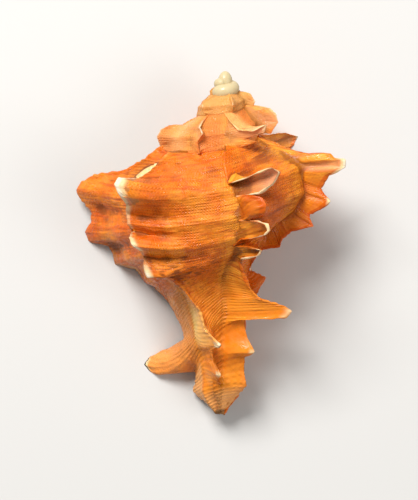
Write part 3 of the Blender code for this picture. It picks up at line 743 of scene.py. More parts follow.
def growth_rows():
    """Place between two varices, the varix it rises to, lift, and back or front face."""
    rows = []
    varices = sorted(range(len(VARICES)), key=lambda k: VARICES[k][0])
    for number, after in zip(varices, varices[1:]):
        start, end = VARICES[number][0], VARICES[after][0]
        size = TURN_GROWTH ** (end / 360.0)
        rise = int(RISE_ROWS * (size**0.5 if end > LAST_WHORL else 0.75 * size**0.5))
        for k in range(1, rise + 1):
            along = 1.0 - (1.0 - k / rise) ** RISE_CROWDING
            step = 1.0 - (1.0 - along) ** (1.0 / RISE_FLAT)
            rows.append(((start, end, along), after, step**RISE_POWER, 0.0))
        for face in RIM_FACES:
            rows.append(((start, end, 1.0), after, 1.0, face))
        fall = FALL_ROWS if end > LAST_WHORL else FEW_FALL_ROWS
        for k in range(fall):
            step = 1.0 - k / fall
            rows.append(((start, end, 1.0 + (1.0 - step) ** FALL_CROWDING), after, step, 1.0))
    return rows


def angle_of(row):
    """Angle of growth of a row at the shoulder."""
    start, end, along = row[0]
    if along > 1.0:
        return end + ROOT * (along - 1.0)
    return start + ROOT + (end - start - ROOT) * along


cords, cord_arc = column_places()
all_rows = growth_rows()
spire_rows = [r for r in all_rows if SPIRE_START <= angle_of(r) < BODY_START]
body_rows = [r for r in all_rows if BODY_START <= angle_of(r) <= 0.0]
print("columns:", len(cords), "spire rows:", len(spire_rows), "body rows:", len(body_rows))

# %% [markdown]
# ## Which rims are pale
# New shell is pale, but only some rims on the real shell are fresh. So each varix says, at
# a few cords, how pale its rim is, and how narrow the pale edge. The hollows of a few
# large spines are flesh pink: how strongly, at which cord, and over what width.

# %% Pale rims
PALE = {
    "lip": ((0, 0.1), (6.85, 0.05), (6.97, 1), (7.04, 1), (7.1, 0.4), (7.2, 0.0), (10, 0.1)),
    "left": (
        (0, 0.35), (1.3, 0.35), (1.6, 0.9), (2.2, 1), (2.5, 0.75), (3.3, 0.7), (3.7, 0.9),
        (4.1, 1), (4.3, 0.4), (4.7, 0.4), (4.95, 1), (5.1, 1), (5.2, 0.3), (5.4, 0.1),
        (6.9, 0.1), (6.98, 1), (7.1, 0.8), (7.2, 0.1), (7.9, 0.2), (8.0, 0.9), (8.2, 0.2),
        (10, 0.2),
    ),
    "mid": (
        (0, 0.0), (1.3, 0.0), (1.5, 0.8), (2.3, 1), (2.6, 0.7), (2.75, 0.15), (3.4, 0.1),
        (3.6, 0.3), (3.8, 0.9), (4.2, 1), (4.35, 0.3), (4.8, 0.1), (4.95, 0.8), (5.3, 1),
        (5.5, 0.1), (6.9, 0.1), (6.98, 0.7), (7.06, 0.6), (7.12, 0.0), (7.95, 0.4), (8.0, 1),
        (8.1, 0.2), (10, 0.15),
    ),
    "right": (
        (0, 0.1), (1.7, 0.1), (1.9, 0.9), (2.05, 1), (2.2, 0.5), (2.4, 0.1), (2.85, 0.3),
        (3.0, 1), (3.1, 0.3), (3.8, 0.2), (4.0, 0.7), (4.2, 0.1), (10, 0.1),
    ),
    "spire_left": ((0, 0.1), (1.1, 0.3), (1.5, 0.7), (2.6, 0.6), (3, 0.2), (10, 0.2)),
    "spire_mid": ((0, 0.3), (1.2, 0.6), (2.0, 0.8), (2.3, 0.4), (3, 0.1), (10, 0.1)),
    "spire_back": ((0, 0.2), (1.3, 0.8), (1.9, 1), (2.1, 0.4), (2.5, 0.0), (10, 0.0)),
    "spire_right": ((0, 0.3), (1.3, 0.6), (2.0, 0.5), (3.0, 0.3), (10, 0.1)),
}
SOME_PALE = ((0, 0.2), (1.8, 0.3), (2.0, 0.8), (2.2, 0.3), (6.9, 0.2), (7.0, 0.8), (7.1, 0.2),
             (10, 0.2))
PALE_POWER = {"mid": 3.0, "spire_mid": 2.5, "left": 9.0, "spire_back": 6.0}
RIM_START = 0.78
PLAIN_PINK = (0.2, 2.0, 0.3)
PINK = {"mid": (0.9, 1.95, 0.34), "right": (0.5, 2.0, 0.14), "spire_mid": (0.7, 2.0, 0.4),
        "spire_right": (0.5, 1.9, 0.4)}
print("varices with pale rims of their own:", len(PALE))

# %% [markdown]
# ## What a place on the shell is
# Each point keeps a few notes that the relief and the material read later: its cord, its
# distance along the outline and along the growth, how near a rim it is, how pale and how
# pink, whether it is on a front face, between varices, in the mouth or on the first
# whorls, how large the shell was then, and how many turns back from the lip it lies.

# %% Notes
NOTES = ("cord", "thread", "grown", "rim", "pale", "front", "pink", "between", "mouth",
         "bulb", "size", "side")
AXIS_CORD = 5.0


def at_cord(rows, cord):
    return np.interp(cord, [r[0] for r in rows], [r[1] for r in rows])


def row_notes(cord, arc, row, grown, inside_count):
    number, lift, face = row[1:]
    at, between = angle_of(row), row[0][2] % 2.0
    between = between if between <= 1.0 else 0.0
    name = VARICES[number][1]
    one = np.ones_like(cord)
    rim = one * max(0.0, (lift - RIM_START) / (1.0 - RIM_START))
    pale = rim ** PALE_POWER.get(name, 5.0) * at_cord(PALE.get(name, SOME_PALE), cord)
    front = 1.0 if face > 0.5 else 0.0
    strength, centre, half = PINK.get(name, PLAIN_PINK)
    pink = front * strength * np.exp(-(((cord - centre) / half) ** 4)) * min(1.0, 0.2 + lift)
    size = TURN_GROWTH ** (at / 360.0)
    outside = [
        cord, arc, grown * one, rim, pale, front * one, pink, between * one, 0.0 * one,
        0.0 * one, size * one, at / 360.0 * one,
    ]
    inside = [AXIS_CORD, 0.0, grown, 0.0, 0.0, 0.0, 0.0, between, 0.0, 0.0, size, at / 360.0]
    return list(np.stack(outside, axis=-1)) + [inside] * inside_count


def mouth_notes(part, grown, inside_count):
    one = np.ones_like(cords)
    near = max(0.0, 1.0 - part * 5.0)
    inner_colour = min(1.0, 0.15 + 1.2 * part)
    outside = [
        cords, cord_arc, (grown + 3.0 * part) * one, near * one,
        near * at_cord(PALE["lip"], cords), one, 0.0 * one, 0.0 * one, inner_colour * one,
        0.0 * one, one, one,
    ]
    inside = [AXIS_CORD, 0.0, grown, 0.0, 0.0, 1.0, 0.0, 0.0, 1.0, 0.0, 1.0, 1.0]
    return list(np.stack(outside, axis=-1)) + [inside] * inside_count


print("notes at each point:", len(NOTES))

# %% [markdown]
# ## Building the surface
# A surface is a list of points, and faces that name them by number. Rings with the same
# number of points are bridged with quads, which a curved shell takes well.

# %% Surface
class Surface:
    def __init__(self):
        self.points, self.faces, self.notes = [], [], []

    def ring(self, points, notes):
        first = len(self.points)
        self.points.extend(points)
        self.notes.extend(notes)
        return list(range(first, first + len(points)))

    def bridge(self, a, b):
        for i in range(len(a)):
            j = (i + 1) % len(a)
            self.faces.append((a[i], b[i], b[j], a[j]))

    def close(self, rings):
        for a, b in zip(rings, rings[1:]):
            self.bridge(a, b)
        self.faces.append(tuple(rings[0]))
        self.faces.append(tuple(reversed(rings[-1])))


# %% [markdown]
# Each row of growth is closed along the axis to make a ring. The distance grown is
# measured on one cord of the shoulder, so that growth marks are evenly spaced there. At
# the lip the rings turn over the rim and run back inside for more than half a turn.

# %% Rings
MEASURED_CORD = np.array([2.5])
FLARE_RINGS = 10
HOLLOW_RINGS = 20
HOLLOW_TAPERS = 150.0


def whorl_rings(surface, rows, cord, arc, inside, grown):
    """One ring for each row of growth, and the distance grown at the last of them."""
    rings, last = [], None
    for row in rows:
        place, number, lift, face = row
        here = outer_row(number, MEASURED_CORD, place, lift, face)[0]
        grown += 0.0 if last is None else float(np.linalg.norm(here - last))
        last = here
        points = np.vstack([outer_row(number, cord, place, lift, face),
                            on_outline(INNER, angle_of(row), inside)])
        rings.append(surface.ring(points, row_notes(cord, arc, row, grown, len(inside))))
    return rings, grown


def mouth_rings(surface, inner, grown):
    """The flare's front face, then the hollow running back into the whorl."""
    mouth = on_outline(LUMEN_OUT, ROOT, cords)
    last_place = (VARICES[LEFT_VARIX][0], VARICES[LIP_VARIX][0], 1.0)
    rings = []
    for k in range(1, FLARE_RINGS + 1):
        part = k / FLARE_RINGS
        flare = outer_row(LIP_VARIX, cords, last_place, 1.0 - 0.5 * part, 1.0)
        eased = part**1.6
        outside = flare * (1.0 - eased) + mouth * eased
        inside = on_outline(INNER, 0.6 * ROOT, inner) * (1.0 - part)
        inside = inside + on_outline(LUMEN_IN, ROOT, inner) * part
        rings.append(surface.ring(np.vstack([outside, inside]),
                                  mouth_notes(part, grown, len(inner))))
    for back in np.linspace(5.0, LUMEN_DEPTH, HOLLOW_RINGS):
        wall = np.vstack([on_outline(LUMEN_OUT, ROOT - back, cords),
                          on_outline(LUMEN_IN, ROOT - back, inner)])
        shrink = max(0.0, (back - HOLLOW_TAPERS) / (LUMEN_DEPTH - HOLLOW_TAPERS)) * 0.8
        wall = wall * (1.0 - shrink) + wall.mean(axis=0) * shrink
        rings.append(surface.ring(wall, mouth_notes(1.0, grown, len(inner))))
    return rings


print("rings in the mouth:", FLARE_RINGS + HOLLOW_RINGS)

# %% [markdown]
# The spire's whorls are covered from the shoulder down by the ones after them, so they
# keep only the upper part of the outline. The two parts are joined along one ring.

# %% Grow the mesh
SPIRE_LAST_CORD = 4.3


def grow_shell():
    surface = Surface()
    inner = np.linspace(9.0, 0.8, INNER_COLUMNS)
    split = int(np.searchsorted(cords, SPIRE_LAST_CORD))
    spire, grown = whorl_rings(surface, spire_rows, cords[:split], cord_arc[:split],
                               np.linspace(2.8, 1.4, 4), 0.0)
    for a, b in zip(spire, spire[1:]):
        surface.bridge(a, b)
    surface.faces.append(tuple(spire[0]))
    body, grown = whorl_rings(surface, body_rows, cords, cord_arc, inner, grown)
    end, start = spire[-1], body[0]
    for i in range(split - 1):
        surface.faces.append((end[i], start[i], start[i + 1], end[i + 1]))
    surface.faces.append(tuple(start[split - 1:] + [start[0], end[0]] + end[:split - 2:-1]))
    body += mouth_rings(surface, inner, grown)
    for a, b in zip(body, body[1:]):
        surface.bridge(a, b)
    surface.faces.append(tuple(reversed(body[-1])))
    return surface


shell_surface = grow_shell()
print("points:", len(shell_surface.points), "faces:", len(shell_surface.faces))

# %% [markdown]
# ## The protoconch
# The shell that the animal hatched with is smooth, glassy and swollen: one tall bulb on
# top of a coil that is barely more than a turn long, a tube swept along a short helix.

# %% Protoconch
BULB_SIDES = 28
BULB_RINGS = 20
BULB_CENTRE = (0.42, -0.40)
BULB_RADIUS = 0.72
BULB_TAPER = 0.08
BULB_HALF_HEIGHT = 0.92
COIL_STEPS = 44
COIL_TURN = 450.0
COIL_END = LIP_ANGLE - 5.0
COIL_CENTRE = (0.45, -0.55)
COIL_DROP = 1.05
COIL_RADIUS = 0.56
COIL_WIDENS = 0.26
TUBE_RADIUS = 0.50
TUBE_WIDENS = 0.30
TUBE_END_STEEPNESS = 7.0


def glassy_notes(grown, size, side):
    """The notes of a place on the hatching shell, which has no cords and no varices."""
    return [[0, 0, grown, 0, 0, 0, 0, 0, 0, 1, size, side]] * BULB_SIDES


def add_coil(surface):
    rings = []
    for k in range(COIL_STEPS + 1):
        t = k / COIL_STEPS
        from_end = min(1.0, min(t, 1.0 - t) * TUBE_END_STEEPNESS)
        cap = math.sqrt(max(0.02, 1.0 - (1.0 - from_end) ** 2))
        tube = (TUBE_RADIUS + TUBE_WIDENS * t) * cap
        phi = math.radians(COIL_END - COIL_TURN * (1.0 - t))
        out = np.array([math.cos(phi), 0.0, math.sin(phi)])
        centre = np.array([COIL_CENTRE[0], COIL_CENTRE[1] - COIL_DROP * t, 0.0])
        centre += (COIL_RADIUS + COIL_WIDENS * t) * out
        ring = []
        for i in range(BULB_SIDES):
            a = 2.0 * math.pi * i / BULB_SIDES
            ring.append(centre + tube * (math.cos(a) * out - math.sin(a) * np.array([0, 1, 0])))
        rings.append(surface.ring(tilt(np.array(ring)), glassy_notes(3.0 * t, 0.1, -4 + t)))
    surface.close(rings)


def add_bulb(surface):
    rings = []
    right, above = BULB_CENTRE
    for k in range(1, BULB_RINGS):
        a = math.pi * k / BULB_RINGS
        radius = math.sin(a) * (BULB_RADIUS - BULB_TAPER * math.cos(a))
        ring = []
        for i in range(BULB_SIDES):
            b = 2.0 * math.pi * i / BULB_SIDES
            ring.append((right + radius * math.cos(b), above + BULB_HALF_HEIGHT * math.cos(a),
                         radius * math.sin(b)))
        rings.append(surface.ring(tilt(np.array(ring)), glassy_notes(0.1 * k, 0.05, -5)))
    surface.close(rings)


add_coil(shell_surface)
add_bulb(shell_surface)
print("points with the protoconch:", len(shell_surface.points))

# %% [markdown]
# ## Relief
# Between the big cords run weaker threads, each rest in growth leaves a low scaly step,
# and the rims are beaded where a thread meets them. These move each point along the
# surface normal by a few hundredths of a millimetre. Crossed waves make the unevenness,
# since they need no picture and come out the same on every run.

# %% Relief
THREAD_SPACING = 0.52
THREAD_HEIGHT = 0.024
LAMELLA_SPACING = 0.85
LAMELLA_HEIGHT = 0.055
LAMELLA_EDGE = 0.9
LUMPS = ((0.12, 4.5, 9), (0.06, 1.6, 10))
GRAINY = (0.03, 0.8, 11)
YOUNG_LUMPS = (0.07, 1.5, 12)
WAVES_CROSSED = 18


def soft_noise(points, size, seed):
    """Smooth noise from crossed waves, about -1 to 1, its lumps about `size` mm apart."""
    rng = np.random.default_rng(seed)
    total = np.zeros(len(points))
    for _ in range(WAVES_CROSSED):
        way = rng.normal(size=3)
        way /= np.linalg.norm(way)
        wave = 2 * math.pi / (size * rng.uniform(0.7, 1.6))
        total += np.sin(points @ way * wave + rng.uniform(0, 2 * math.pi))
    return total / 5.0


def relief_height(points, note):
    skin = (1.0 - note["bulb"]) * (1.0 - note["mouth"])
    plain = skin * (1.0 - 0.7 * note["front"])
    size = np.clip(note["size"], 0.15, 1.0)
    wander = 0.4 * soft_noise(points, 5.0, 3)
    threads = np.sin(2 * math.pi * (note["thread"] / THREAD_SPACING + wander))
    strength = np.clip(0.45 + 0.75 * soft_noise(points, 2.2, 4), 0.0, 1.5)
    height = THREAD_HEIGHT * plain * size**0.5 * threads * strength
    phase = note["grown"] / LAMELLA_SPACING + 0.35 * soft_noise(points, 4.0, 5)
    step = phase - np.floor(phase)
    scale = step**3 - 4.0 * np.clip(step - LAMELLA_EDGE, 0.0, 1.0)
    uneven = np.clip(0.5 + soft_noise(points, 3.5, 6), 0, 1.3)
    height += LAMELLA_HEIGHT * plain * size * scale * uneven
    for lump, spacing, seed in LUMPS:
        height += lump * skin * size * soft_noise(points, spacing, seed)
    height += GRAINY[0] * plain * size * soft_noise(points, *GRAINY[1:])
    young = np.clip((0.45 - size) / 0.15, 0.0, 1.0)
    height += YOUNG_LUMPS[0] * skin * young * soft_noise(points, *YOUNG_LUMPS[1:])
    return height


print("threads, mm apart:", THREAD_SPACING, "growth steps, mm apart:", LAMELLA_SPACING)

# %% Beaded rims
BEAD_SPACING = 0.46
BEAD_HEIGHT = 0.065
BEAD_HEIGHT_ON_SPINES = 0.020


def rim_beads(note):
    beads = np.sin(2 * math.pi * note["thread"] / BEAD_SPACING)
    lower = (BEAD_HEIGHT - BEAD_HEIGHT_ON_SPINES) * any_digit(note["cord"], 1.3)
    height = (BEAD_HEIGHT - lower) * beads * np.clip(note["size"], 0.0, 1.0)
    return height * note["rim"] ** 3


print("beads on the rims, mm apart:", BEAD_SPACING)

# %% [markdown]
# ## The strip of fresh shell
# In front of the shoulder of the left varix lies a strip of cream shell, edged by a brown
# line painted as the shade of a groove. Its edge follows the varix as seen from above, so
# the distance to the rim is measured in plan. It is widest in the middle, and below the
# overhang it runs further in.

# %% Strip before the left varix
STRIP_FIRST, STRIP_LAST = 0.3, 1.62
STRIP_MIDDLE = 0.96
STRIP_EDGE = 0.12
STRIP_WIDENS = 0.65
STRIP_UNDER = 2.2
FAR_AHEAD = 4.0
FROM_RIM = np.array([-0.66, 0.75])
SHOULDER_CORD = 2.2
LAST_SIDE, FRONT_SIDE = -0.156, -0.13


def before_left_varix(points, note):
    """How far a place lies in front of the left varix's shoulder, 1 at the painted groove
    shade.
    """
    rim_cord = np.linspace(STRIP_FIRST, STRIP_LAST, 60)
    rim_place = (VARICES[MID_VARIX][0], VARICES[LEFT_VARIX][0], 1.0)
    rim_line = outer_row(LEFT_VARIX, rim_cord, rim_place, 1.0, 0.0)
    across = (rim_cord - STRIP_FIRST) / (STRIP_LAST - STRIP_FIRST)
    width = STRIP_EDGE + STRIP_WIDENS * np.sin(math.pi * across)
    near = (note["side"] > LAST_SIDE) & (note["cord"] < SHOULDER_CORD)
    near &= (note["mouth"] < 0.01) & (note["bulb"] < 0.5)
    near &= (note["front"] < 0.5) | (note["side"] < FRONT_SIDE)
    gap = np.linalg.norm(points[near][:, None, :2] - rim_line[None, :, :2], axis=2)
    nearest = gap.argmin(axis=1)
    to_rim = gap.min(axis=1)
    under = (points[near][:, :2] - rim_line[nearest, :2]) @ FROM_RIM < 0.0
    past_end = np.clip((np.abs(rim_cord[nearest] - STRIP_MIDDLE) - 0.4) / 0.26, 0.0, 1.0)
    in_front = np.full(len(points), FAR_AHEAD)
    in_front[near] = np.where(under, to_rim / STRIP_UNDER + FAR_AHEAD * past_end,
                              to_rim / width[nearest])
    return np.minimum(in_front, FAR_AHEAD)


print("strip at its widest, mm in plan:", STRIP_EDGE + STRIP_WIDENS)

# %% [markdown]
# ## The finished mesh
# Each point also keeps how deep it lies below its smoothed surroundings, so that the material
# can paint shade into the dents. The shell is set down in the frame's place, and no point may
# go below the floor.

# %% Place the shell
STRIP_ROUNDS = 3
DENT_ROUNDS = 12


def make_mesh(surface):
    mesh = bpy.data.meshes.new("murex")
    mesh.from_pydata([tuple(p) for p in surface.points], [], surface.faces)
    work = bmesh.new()
    work.from_mesh(mesh)
    bmesh.ops.recalc_face_normals(work, faces=work.faces)
    work.to_mesh(mesh)
    work.free()
    return mesh


def smoothed(mesh, values, rounds):
    """Each row of values averaged over its neighbours on the mesh, several times."""
    edges = np.array([e.vertices[:] for e in mesh.edges])
    count = np.bincount(edges.ravel(), minlength=len(values))[:, None]
    for _ in range(rounds):
        total = np.zeros_like(values)
        for a, b in ((0, 1), (1, 0)):
            for column in range(values.shape[1]):
                total[:, column] += np.bincount(edges[:, a], values[edges[:, b], column],
                                                minlength=len(values))
        values = total / np.maximum(count, 1)
    return values


mesh = make_mesh(shell_surface)
points = np.array(shell_surface.points)
note = dict(zip(NOTES, np.array(shell_surface.notes, dtype=float).T))
normals = np.array([v.normal for v in mesh.vertices])
points = points + normals * (relief_height(points, note) + rim_beads(note))[:, None]
in_front = before_left_varix(points, note)
note["ahead"] = smoothed(mesh, in_front[:, None], STRIP_ROUNDS)[:, 0]
dents = smoothed(mesh, points, DENT_ROUNDS) - points
note["dent"] = np.einsum("ij,ij->i", dents, normals)
note["sculpted"] = 1.0 - np.max([note["bulb"], note["mouth"], 0.5 * note["front"]], axis=0)
print("deepest dent, mm:", round(float(np.percentile(note["dent"], 99)), 2))
placed = (points + APEX) * MM
placed[:, 2] = np.maximum(placed[:, 2], 0.0)
mesh.vertices.foreach_set("co", placed.ravel())
for name, values in note.items():
    layer = mesh.attributes.new(name, "FLOAT", "POINT")
    layer.data.foreach_set("value", values.astype(np.float32))
mesh.update()
mesh.shade_smooth()
shell = bpy.data.objects.new("murex_shell", mesh)
bpy.context.scene.collection.objects.link(shell)
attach(shell, "root")
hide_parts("shell")
mesh.calc_loop_triangles()
print("triangles:", len(mesh.loop_triangles))

# %% [markdown]
# ## The shell's material
# The shell is aragonite coloured by the animal's own pigment, orange here, laid down in
# streaks that follow the threads and in bands that follow growth. New shell at rims and
# spine tips is still cream, and the hatching shell has no pigment at all.

# %% Colours
def linear(code):
    """An sRGB hex colour as linear values."""
    parts = [int(code[i:i + 2], 16) / 255.0 for i in (1, 3, 5)]
    return [c / 12.92 if c <= 0.04045 else ((c + 0.055) / 1.055) ** 2.4 for c in parts] + [1.0]


ORANGE = linear("#E66F0E")
DEEP_ORANGE = linear("#C04C04")
YELLOW_ORANGE = linear("#F69C2C")
PALE_ORANGE = linear("#FBB066")
CREAM = linear("#EFCB96")
WHITE_TIP = linear("#F3DFC0")
BROWN = linear("#7A3806")
PINK_FLESH = linear("#ECA274")
TAN = linear("#DDA257")
YELLOW_STRIP = linear("#FACB74")
GLASSY = linear("#C6B389")
MOUTH = linear("#F4D8B8")

print("whitest rim, linear:", [round(part, 2) for part in WHITE_TIP[:3]])

# %% [markdown]
# The material reads the notes kept on the mesh. One small function adds a node with its
# settings and links. Two more say how an amount is worked out and how one colour is laid
# over another, since every mark on this shell is made in that way.

# %% Nodes
shell_look = bpy.data.materials.new("orange_murex_shell")
shell_look.use_nodes = True
tree = shell_look.node_tree
surface_node = tree.nodes["Principled BSDF"]


def add(kind, output, inputs, **settings):
    """Adds a node, sets or links its inputs, and gives the output that is asked for."""
    node = tree.nodes.new("ShaderNode" + kind)
    for key, value in settings.items():
        setattr(node, key, value)
    for key, value in inputs.items():
        if isinstance(value, bpy.types.NodeSocket):
            tree.links.new(value, node.inputs[key])
        else:
            node.inputs[key].default_value = value
    return node.outputs[output]


def amount(*parts):
    """The product of its parts. A part is a value, or a value and the two places between
    which it eases from 0 to 1."""
    total = None
    for part in parts:
        if isinstance(part, tuple):
            part = add("MapRange", 0, dict(enumerate(part)), interpolation_type="SMOOTHSTEP")
        if total is not None:
            part = add("Math", 0, {0: total, 1: part}, operation="MULTIPLY")
        total = part
    return total


def around(value, middle, half):
    """The two parts that leave only the places near the middle of a value."""
    return (value, middle - half, middle), (value, middle + half, middle)


def laid_over(under, colour, *parts):
    """One colour over another, as far as the amount of the parts goes."""
    return add("Mix", 2, {0: amount(*parts), 6: under, 7: colour}, data_type="RGBA")


# %% [markdown]
# ## Where the pigment goes
# Pigment is laid down at the lip as the shell grows. So its grain is drawn in the shell's
# own measures, the distance along the outline and the distance grown, both in
# millimetres. A streak is long in the direction of growth and a band is long across it.
# Each grain says what it follows, its lumps in a millimetre, its detail and its roughness.

# %% Grain of the pigment
READ = ("cord", "thread", "grown", "pale", "pink", "between", "mouth", "bulb", "size", "side",
        "dent", "ahead", "sculpted")
noted = {name: add("Attribute", "Fac", {}, attribute_name=name) for name in READ}
cord, side, thread, ahead = noted["cord"], noted["side"], noted["thread"], noted["ahead"]
STREAK_STRETCH = 0.14
BAND_STRETCH = 0.2
along = add("CombineXYZ", 0, {0: thread, 1: amount(noted["grown"], STREAK_STRETCH)})
across = add("CombineXYZ", 0, {0: amount(thread, BAND_STRETCH), 1: noted["grown"]})
place = add("TexCoord", "Object", {})
GRAINS = {
    "streaks": (along, 1.6, 5.0, 0.62),
    "fine streaks": (along, 5.5, 2.0, 0.5),
    "bands": (across, 0.8, 4.0, 0.6),
    "patches": (place, 0.26 / MM, 4.0, 0.6),
    "wear": (place, 0.4 / MM, 2.0, 0.55),
    "scratches": (along, 7.0, 4.0, 0.7),
    "grit": (place, 3.0 / MM, 3.0, 0.55),
    "gloss": (place, 1.3 / MM, 4.0, 0.55),
}
GRAIN_INPUTS = ("Vector", "Scale", "Detail", "Roughness")
grain = {name: add("TexNoise", "Fac", dict(zip(GRAIN_INPUTS, values)))
         for name, values in GRAINS.items()}
print("grains:", ", ".join(grain))

# %% [markdown]
# The ground is orange, yellower where the animal rested, with streaks, bands and brown
# lines over it. The brown streaks are stronger low on the body, brown is painted into the
# dents as shade, and the canal is paler.

# %% Ground colour
CANAL_STRENGTH = 0.75
pigment = laid_over(YELLOW_ORANGE, ORANGE, (noted["between"], 0.0, 0.45))
pigment = laid_over(pigment, YELLOW_ORANGE, (grain["patches"], 0.45, 0.65), 0.55)
pigment = laid_over(pigment, DEEP_ORANGE, (grain["streaks"], 0.46, 0.66), 0.7)
pigment = laid_over(pigment, DEEP_ORANGE, (grain["bands"], 0.5, 0.7), 0.5)
low_body = amount(*around(cord, 5.3, 1.1), (side, -0.6, -0.2), (side, -0.10, -0.16))
browner = add("Math", 0, {0: low_body, 1: 0.7, 2: 0.22}, operation="MULTIPLY_ADD")
pigment = laid_over(pigment, BROWN, (grain["fine streaks"], 0.48, 0.62), browner)
# painted shade: brown laid into the dents of the mesh, where shade falls
pigment = laid_over(pigment, BROWN, (noted["dent"], 0.02, 0.16), 0.7)
canal = amount((cord, 6.1, 6.7), CANAL_STRENGTH)
pigment = laid_over(pigment, laid_over(YELLOW_ORANGE, ORANGE, grain["streaks"]), canal)
print("nodes for the ground colour:", len(tree.nodes))

# %% [markdown]
# Then come the marks of this one shell. Each says its colour, where it lies in turns back
# from the lip and in cord numbers, and how strong it is. Later marks lie over earlier ones.

# %% Marks
RIB_SPACING = 0.42


def ripple(distance, spacing):
    """A wave along a distance, both in millimetres."""
    turned = amount(distance, 2 * math.pi / spacing)
    return add("Math", 0, {0: turned}, operation="SINE")


ribs = ripple(thread, RIB_SPACING)
ribbed = laid_over(BROWN, YELLOW_ORANGE, (ribs, -0.6, 0.8), 0.6)
strip_cream = laid_over(CREAM, YELLOW_STRIP, (ribs, -0.9, 0.9), 0.7)
streaked = (grain["streaks"], 0.38, 0.6)
MARKS = {
    "left lobe of the spire": (PALE_ORANGE, *around(side, -1.06, 0.09), (cord, 3.2, 2.6), 0.8),
    "front of the spire": (PALE_ORANGE, *around(side, -1.345, 0.06), (cord, 2.5, 2.2), 0.9),
    "plate of the lip": (PALE_ORANGE, (side, -0.13, -0.09), (cord, 7.4, 8.0), 0.9),
    "paler spire": (PALE_ORANGE, (noted["size"], 0.62, 0.48), 0.3),
    "tan top": (TAN, (noted["size"], 0.33, 0.22), 0.75),
    "ribs beside the strip": (ribbed, (ahead, 3.5, 1.4), (cord, 1.9, 1.6), 0.45),
    # painted shade: a brown line where the groove at the strip's edge lies in shade
    "painted shade in the groove of the strip": (BROWN, (ahead, 1.3, 1.0), 0.85),
    "strip": (strip_cream, (ahead, 0.92, 0.8)),
    "strip on the neck": (YELLOW_STRIP, *around(side, -0.14, 0.03), *around(cord, 6.75, 0.5)),
    "canal end": (PALE_ORANGE, (cord, 8.9, 9.4), (side, -0.45, -0.35), 0.7),
    "neck of the lip": (PALE_ORANGE, (side, -0.13, -0.09), *around(cord, 6.5, 1.1), 0.6),
    "second digit": (DEEP_ORANGE, *around(side, -0.325, 0.02), *around(cord, 3.02, 0.4), 0.8),
    "spot behind": (BROWN, *around(side, -0.41, 0.09), *around(cord, 0.9, 0.9), streaked, 0.75),
    "spot below": (BROWN, *around(side, -0.42, 0.07), *around(cord, 3.4, 1.2), streaked, 0.45),
    "spot above": (BROWN, *around(side, -0.25, 0.05), *around(cord, 1.2, 0.5), streaked, 0.55),
    "right frill": (DEEP_ORANGE, *around(side, -0.5, 0.035), (cord, 2.15, 2.5), 0.6),
}
for colour, *parts in MARKS.values():
    pigment = laid_over(pigment, colour, *parts)
print("marks:", len(MARKS))

# %% [markdown]
# Fresh shell covers all that: flesh pink in the gutters, cream and then white at the rims
# with a ragged edge, ivory in the mouth, and glassy buff on the hatching shell.

# %% Fresh shell
RAGGEDNESS = 0.9
CREAM_FROM, WHITE_FROM, ALL_WHITE = 0.80, 1.30, 1.55
ragged = add("Math", 0, {0: grain["patches"], 1: RAGGEDNESS, 2: noted["pale"]},
             operation="MULTIPLY_ADD")
pigment = laid_over(pigment, PINK_FLESH, noted["pink"])
pigment = laid_over(pigment, CREAM, (ragged, CREAM_FROM, WHITE_FROM), 0.95)
pigment = laid_over(pigment, WHITE_TIP, (ragged, WHITE_FROM, ALL_WHITE))
pigment = laid_over(pigment, MOUTH, noted["mouth"])
pigment = laid_over(pigment, GLASSY, noted["bulb"])
tree.links.new(pigment, surface_node.inputs["Base Color"])
print("nodes for the whole colour:", len(tree.nodes))

# %% [markdown]
# The finest sculpture is a cloth of spiral threads crossed by growth lines, with a bead
# where they cross, about a third of a millimetre apart. The mesh is too coarse for it, so
# it is bump. The mouth and the hatching shell are smooth.

# %% Threads and growth lines
CLOTH_THREADS = 0.34
CLOTH_LINES = 0.30
CLOTH_DEPTH = 0.035 * MM


def stacked(*layers):
    """Layers of relief added up, each layer the amount of its parts."""
    total = amount(*layers[0])
    for parts in layers[1:]:
        total = add("Math", 0, {0: total, 1: amount(*parts)}, operation="ADD")
    return total


waves = ripple(thread, CLOTH_THREADS)
lines = ripple(stacked((noted["grown"],), (grain["streaks"], 0.5)), CLOTH_LINES)
patchy = amount((grain["wear"], 0.35, 0.65))
ribbing = stacked((0.08,), (patchy, 0.6), (canal, 0.8))
cloth = stacked(
    (waves, ribbing),
    (waves, lines, patchy, 1.1),
    (lines, 0.25),
    (grain["scratches"], 3.0),
    (grain["grit"], 2.2),
)
height = amount(cloth, noted["sculpted"])
bump = add("Bump", 0, {"Strength": 0.8, "Distance": CLOTH_DEPTH, "Height": height})
tree.links.new(bump, surface_node.inputs["Normal"])
print("threads drawn, mm apart:", CLOTH_THREADS)

# %% [markdown]
# ## How it takes the light
# Aragonite bends light a little more than glass does. A cleaned shell has small polished
# places between dull ones, so the roughness runs from glossy to satin. A little light goes
# into the thin rims and comes out orange.

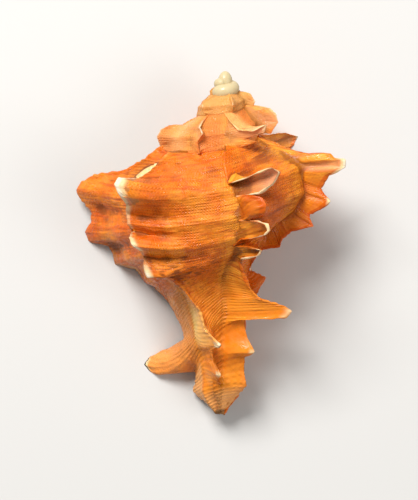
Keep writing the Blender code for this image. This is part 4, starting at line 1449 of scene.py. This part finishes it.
# %% Finish
SHELL_IOR = 1.55
GLOSSY, SATIN = 0.17, 0.53
gloss = add("MapRange", 0, {0: grain["gloss"], 1: 0.35, 2: 0.62, 3: GLOSSY, 4: SATIN},
            interpolation_type="SMOOTHSTEP")
tree.links.new(gloss, surface_node.inputs["Roughness"])
FINISH = {
    "IOR": SHELL_IOR,
    "Specular IOR Level": 0.28,
    "Subsurface Weight": 0.06,
    "Subsurface Radius": (1.0, 0.45, 0.2),
    "Subsurface Scale": 0.35 * MM,
}
for key, value in FINISH.items():
    surface_node.inputs[key].default_value = value
mesh.materials.append(shell_look)
print("roughness from", GLOSSY, "to", SATIN)

# %% [markdown]
# ## Floor and light
# A matt, pale floor, as of painted board in a small studio. It keeps the colour of the
# shell clean and shows how the spines stand on it.

# %% Floor
FLOOR_ROUGHNESS = 0.8
bpy.ops.mesh.primitive_plane_add(size=2.0)
floor = bpy.context.object
floor.name = "floor"
floor_look = bpy.data.materials.new("pale_floor")
floor_look.use_nodes = True
floor_surface = floor_look.node_tree.nodes["Principled BSDF"]
floor_surface.inputs["Base Color"].default_value = linear("#CFCDC9")
floor_surface.inputs["Roughness"].default_value = FLOOR_ROUGHNESS
floor.data.materials.append(floor_look)
print("floor, m:", round(floor.dimensions.x, 1))

# %% [markdown]
# The lights are large and soft. The main one is beyond the top of the picture and a little
# to the left, as the highlights in the photograph show. A weaker one from the right and an
# even white world keep the shadows open.

# %% Lights
LIGHTS = {
    "key": ((-0.12, 0.24, 0.30), 0.18, 2.3),
    "fill": ((0.26, -0.06, 0.30), 0.22, 0.5),
}
WORLD_STRENGTH = 0.27
for name, (spot, width, power) in LIGHTS.items():
    lamp = bpy.data.lights.new(name, "AREA")
    lamp.size = width
    lamp.energy = power
    holder = bpy.data.objects.new(name, lamp)
    bpy.context.scene.collection.objects.link(holder)
    holder.location = spot
    holder.rotation_euler = (-Vector(spot)).to_track_quat("-Z", "Y").to_euler()
world = bpy.data.worlds.new("studio")
bpy.context.scene.world = world
world.use_nodes = True
sky = world.node_tree.nodes["Background"]
sky.inputs["Color"].default_value = (1.0, 1.0, 1.0, 1.0)
sky.inputs["Strength"].default_value = WORLD_STRENGTH
print("lights:", ", ".join(LIGHTS))
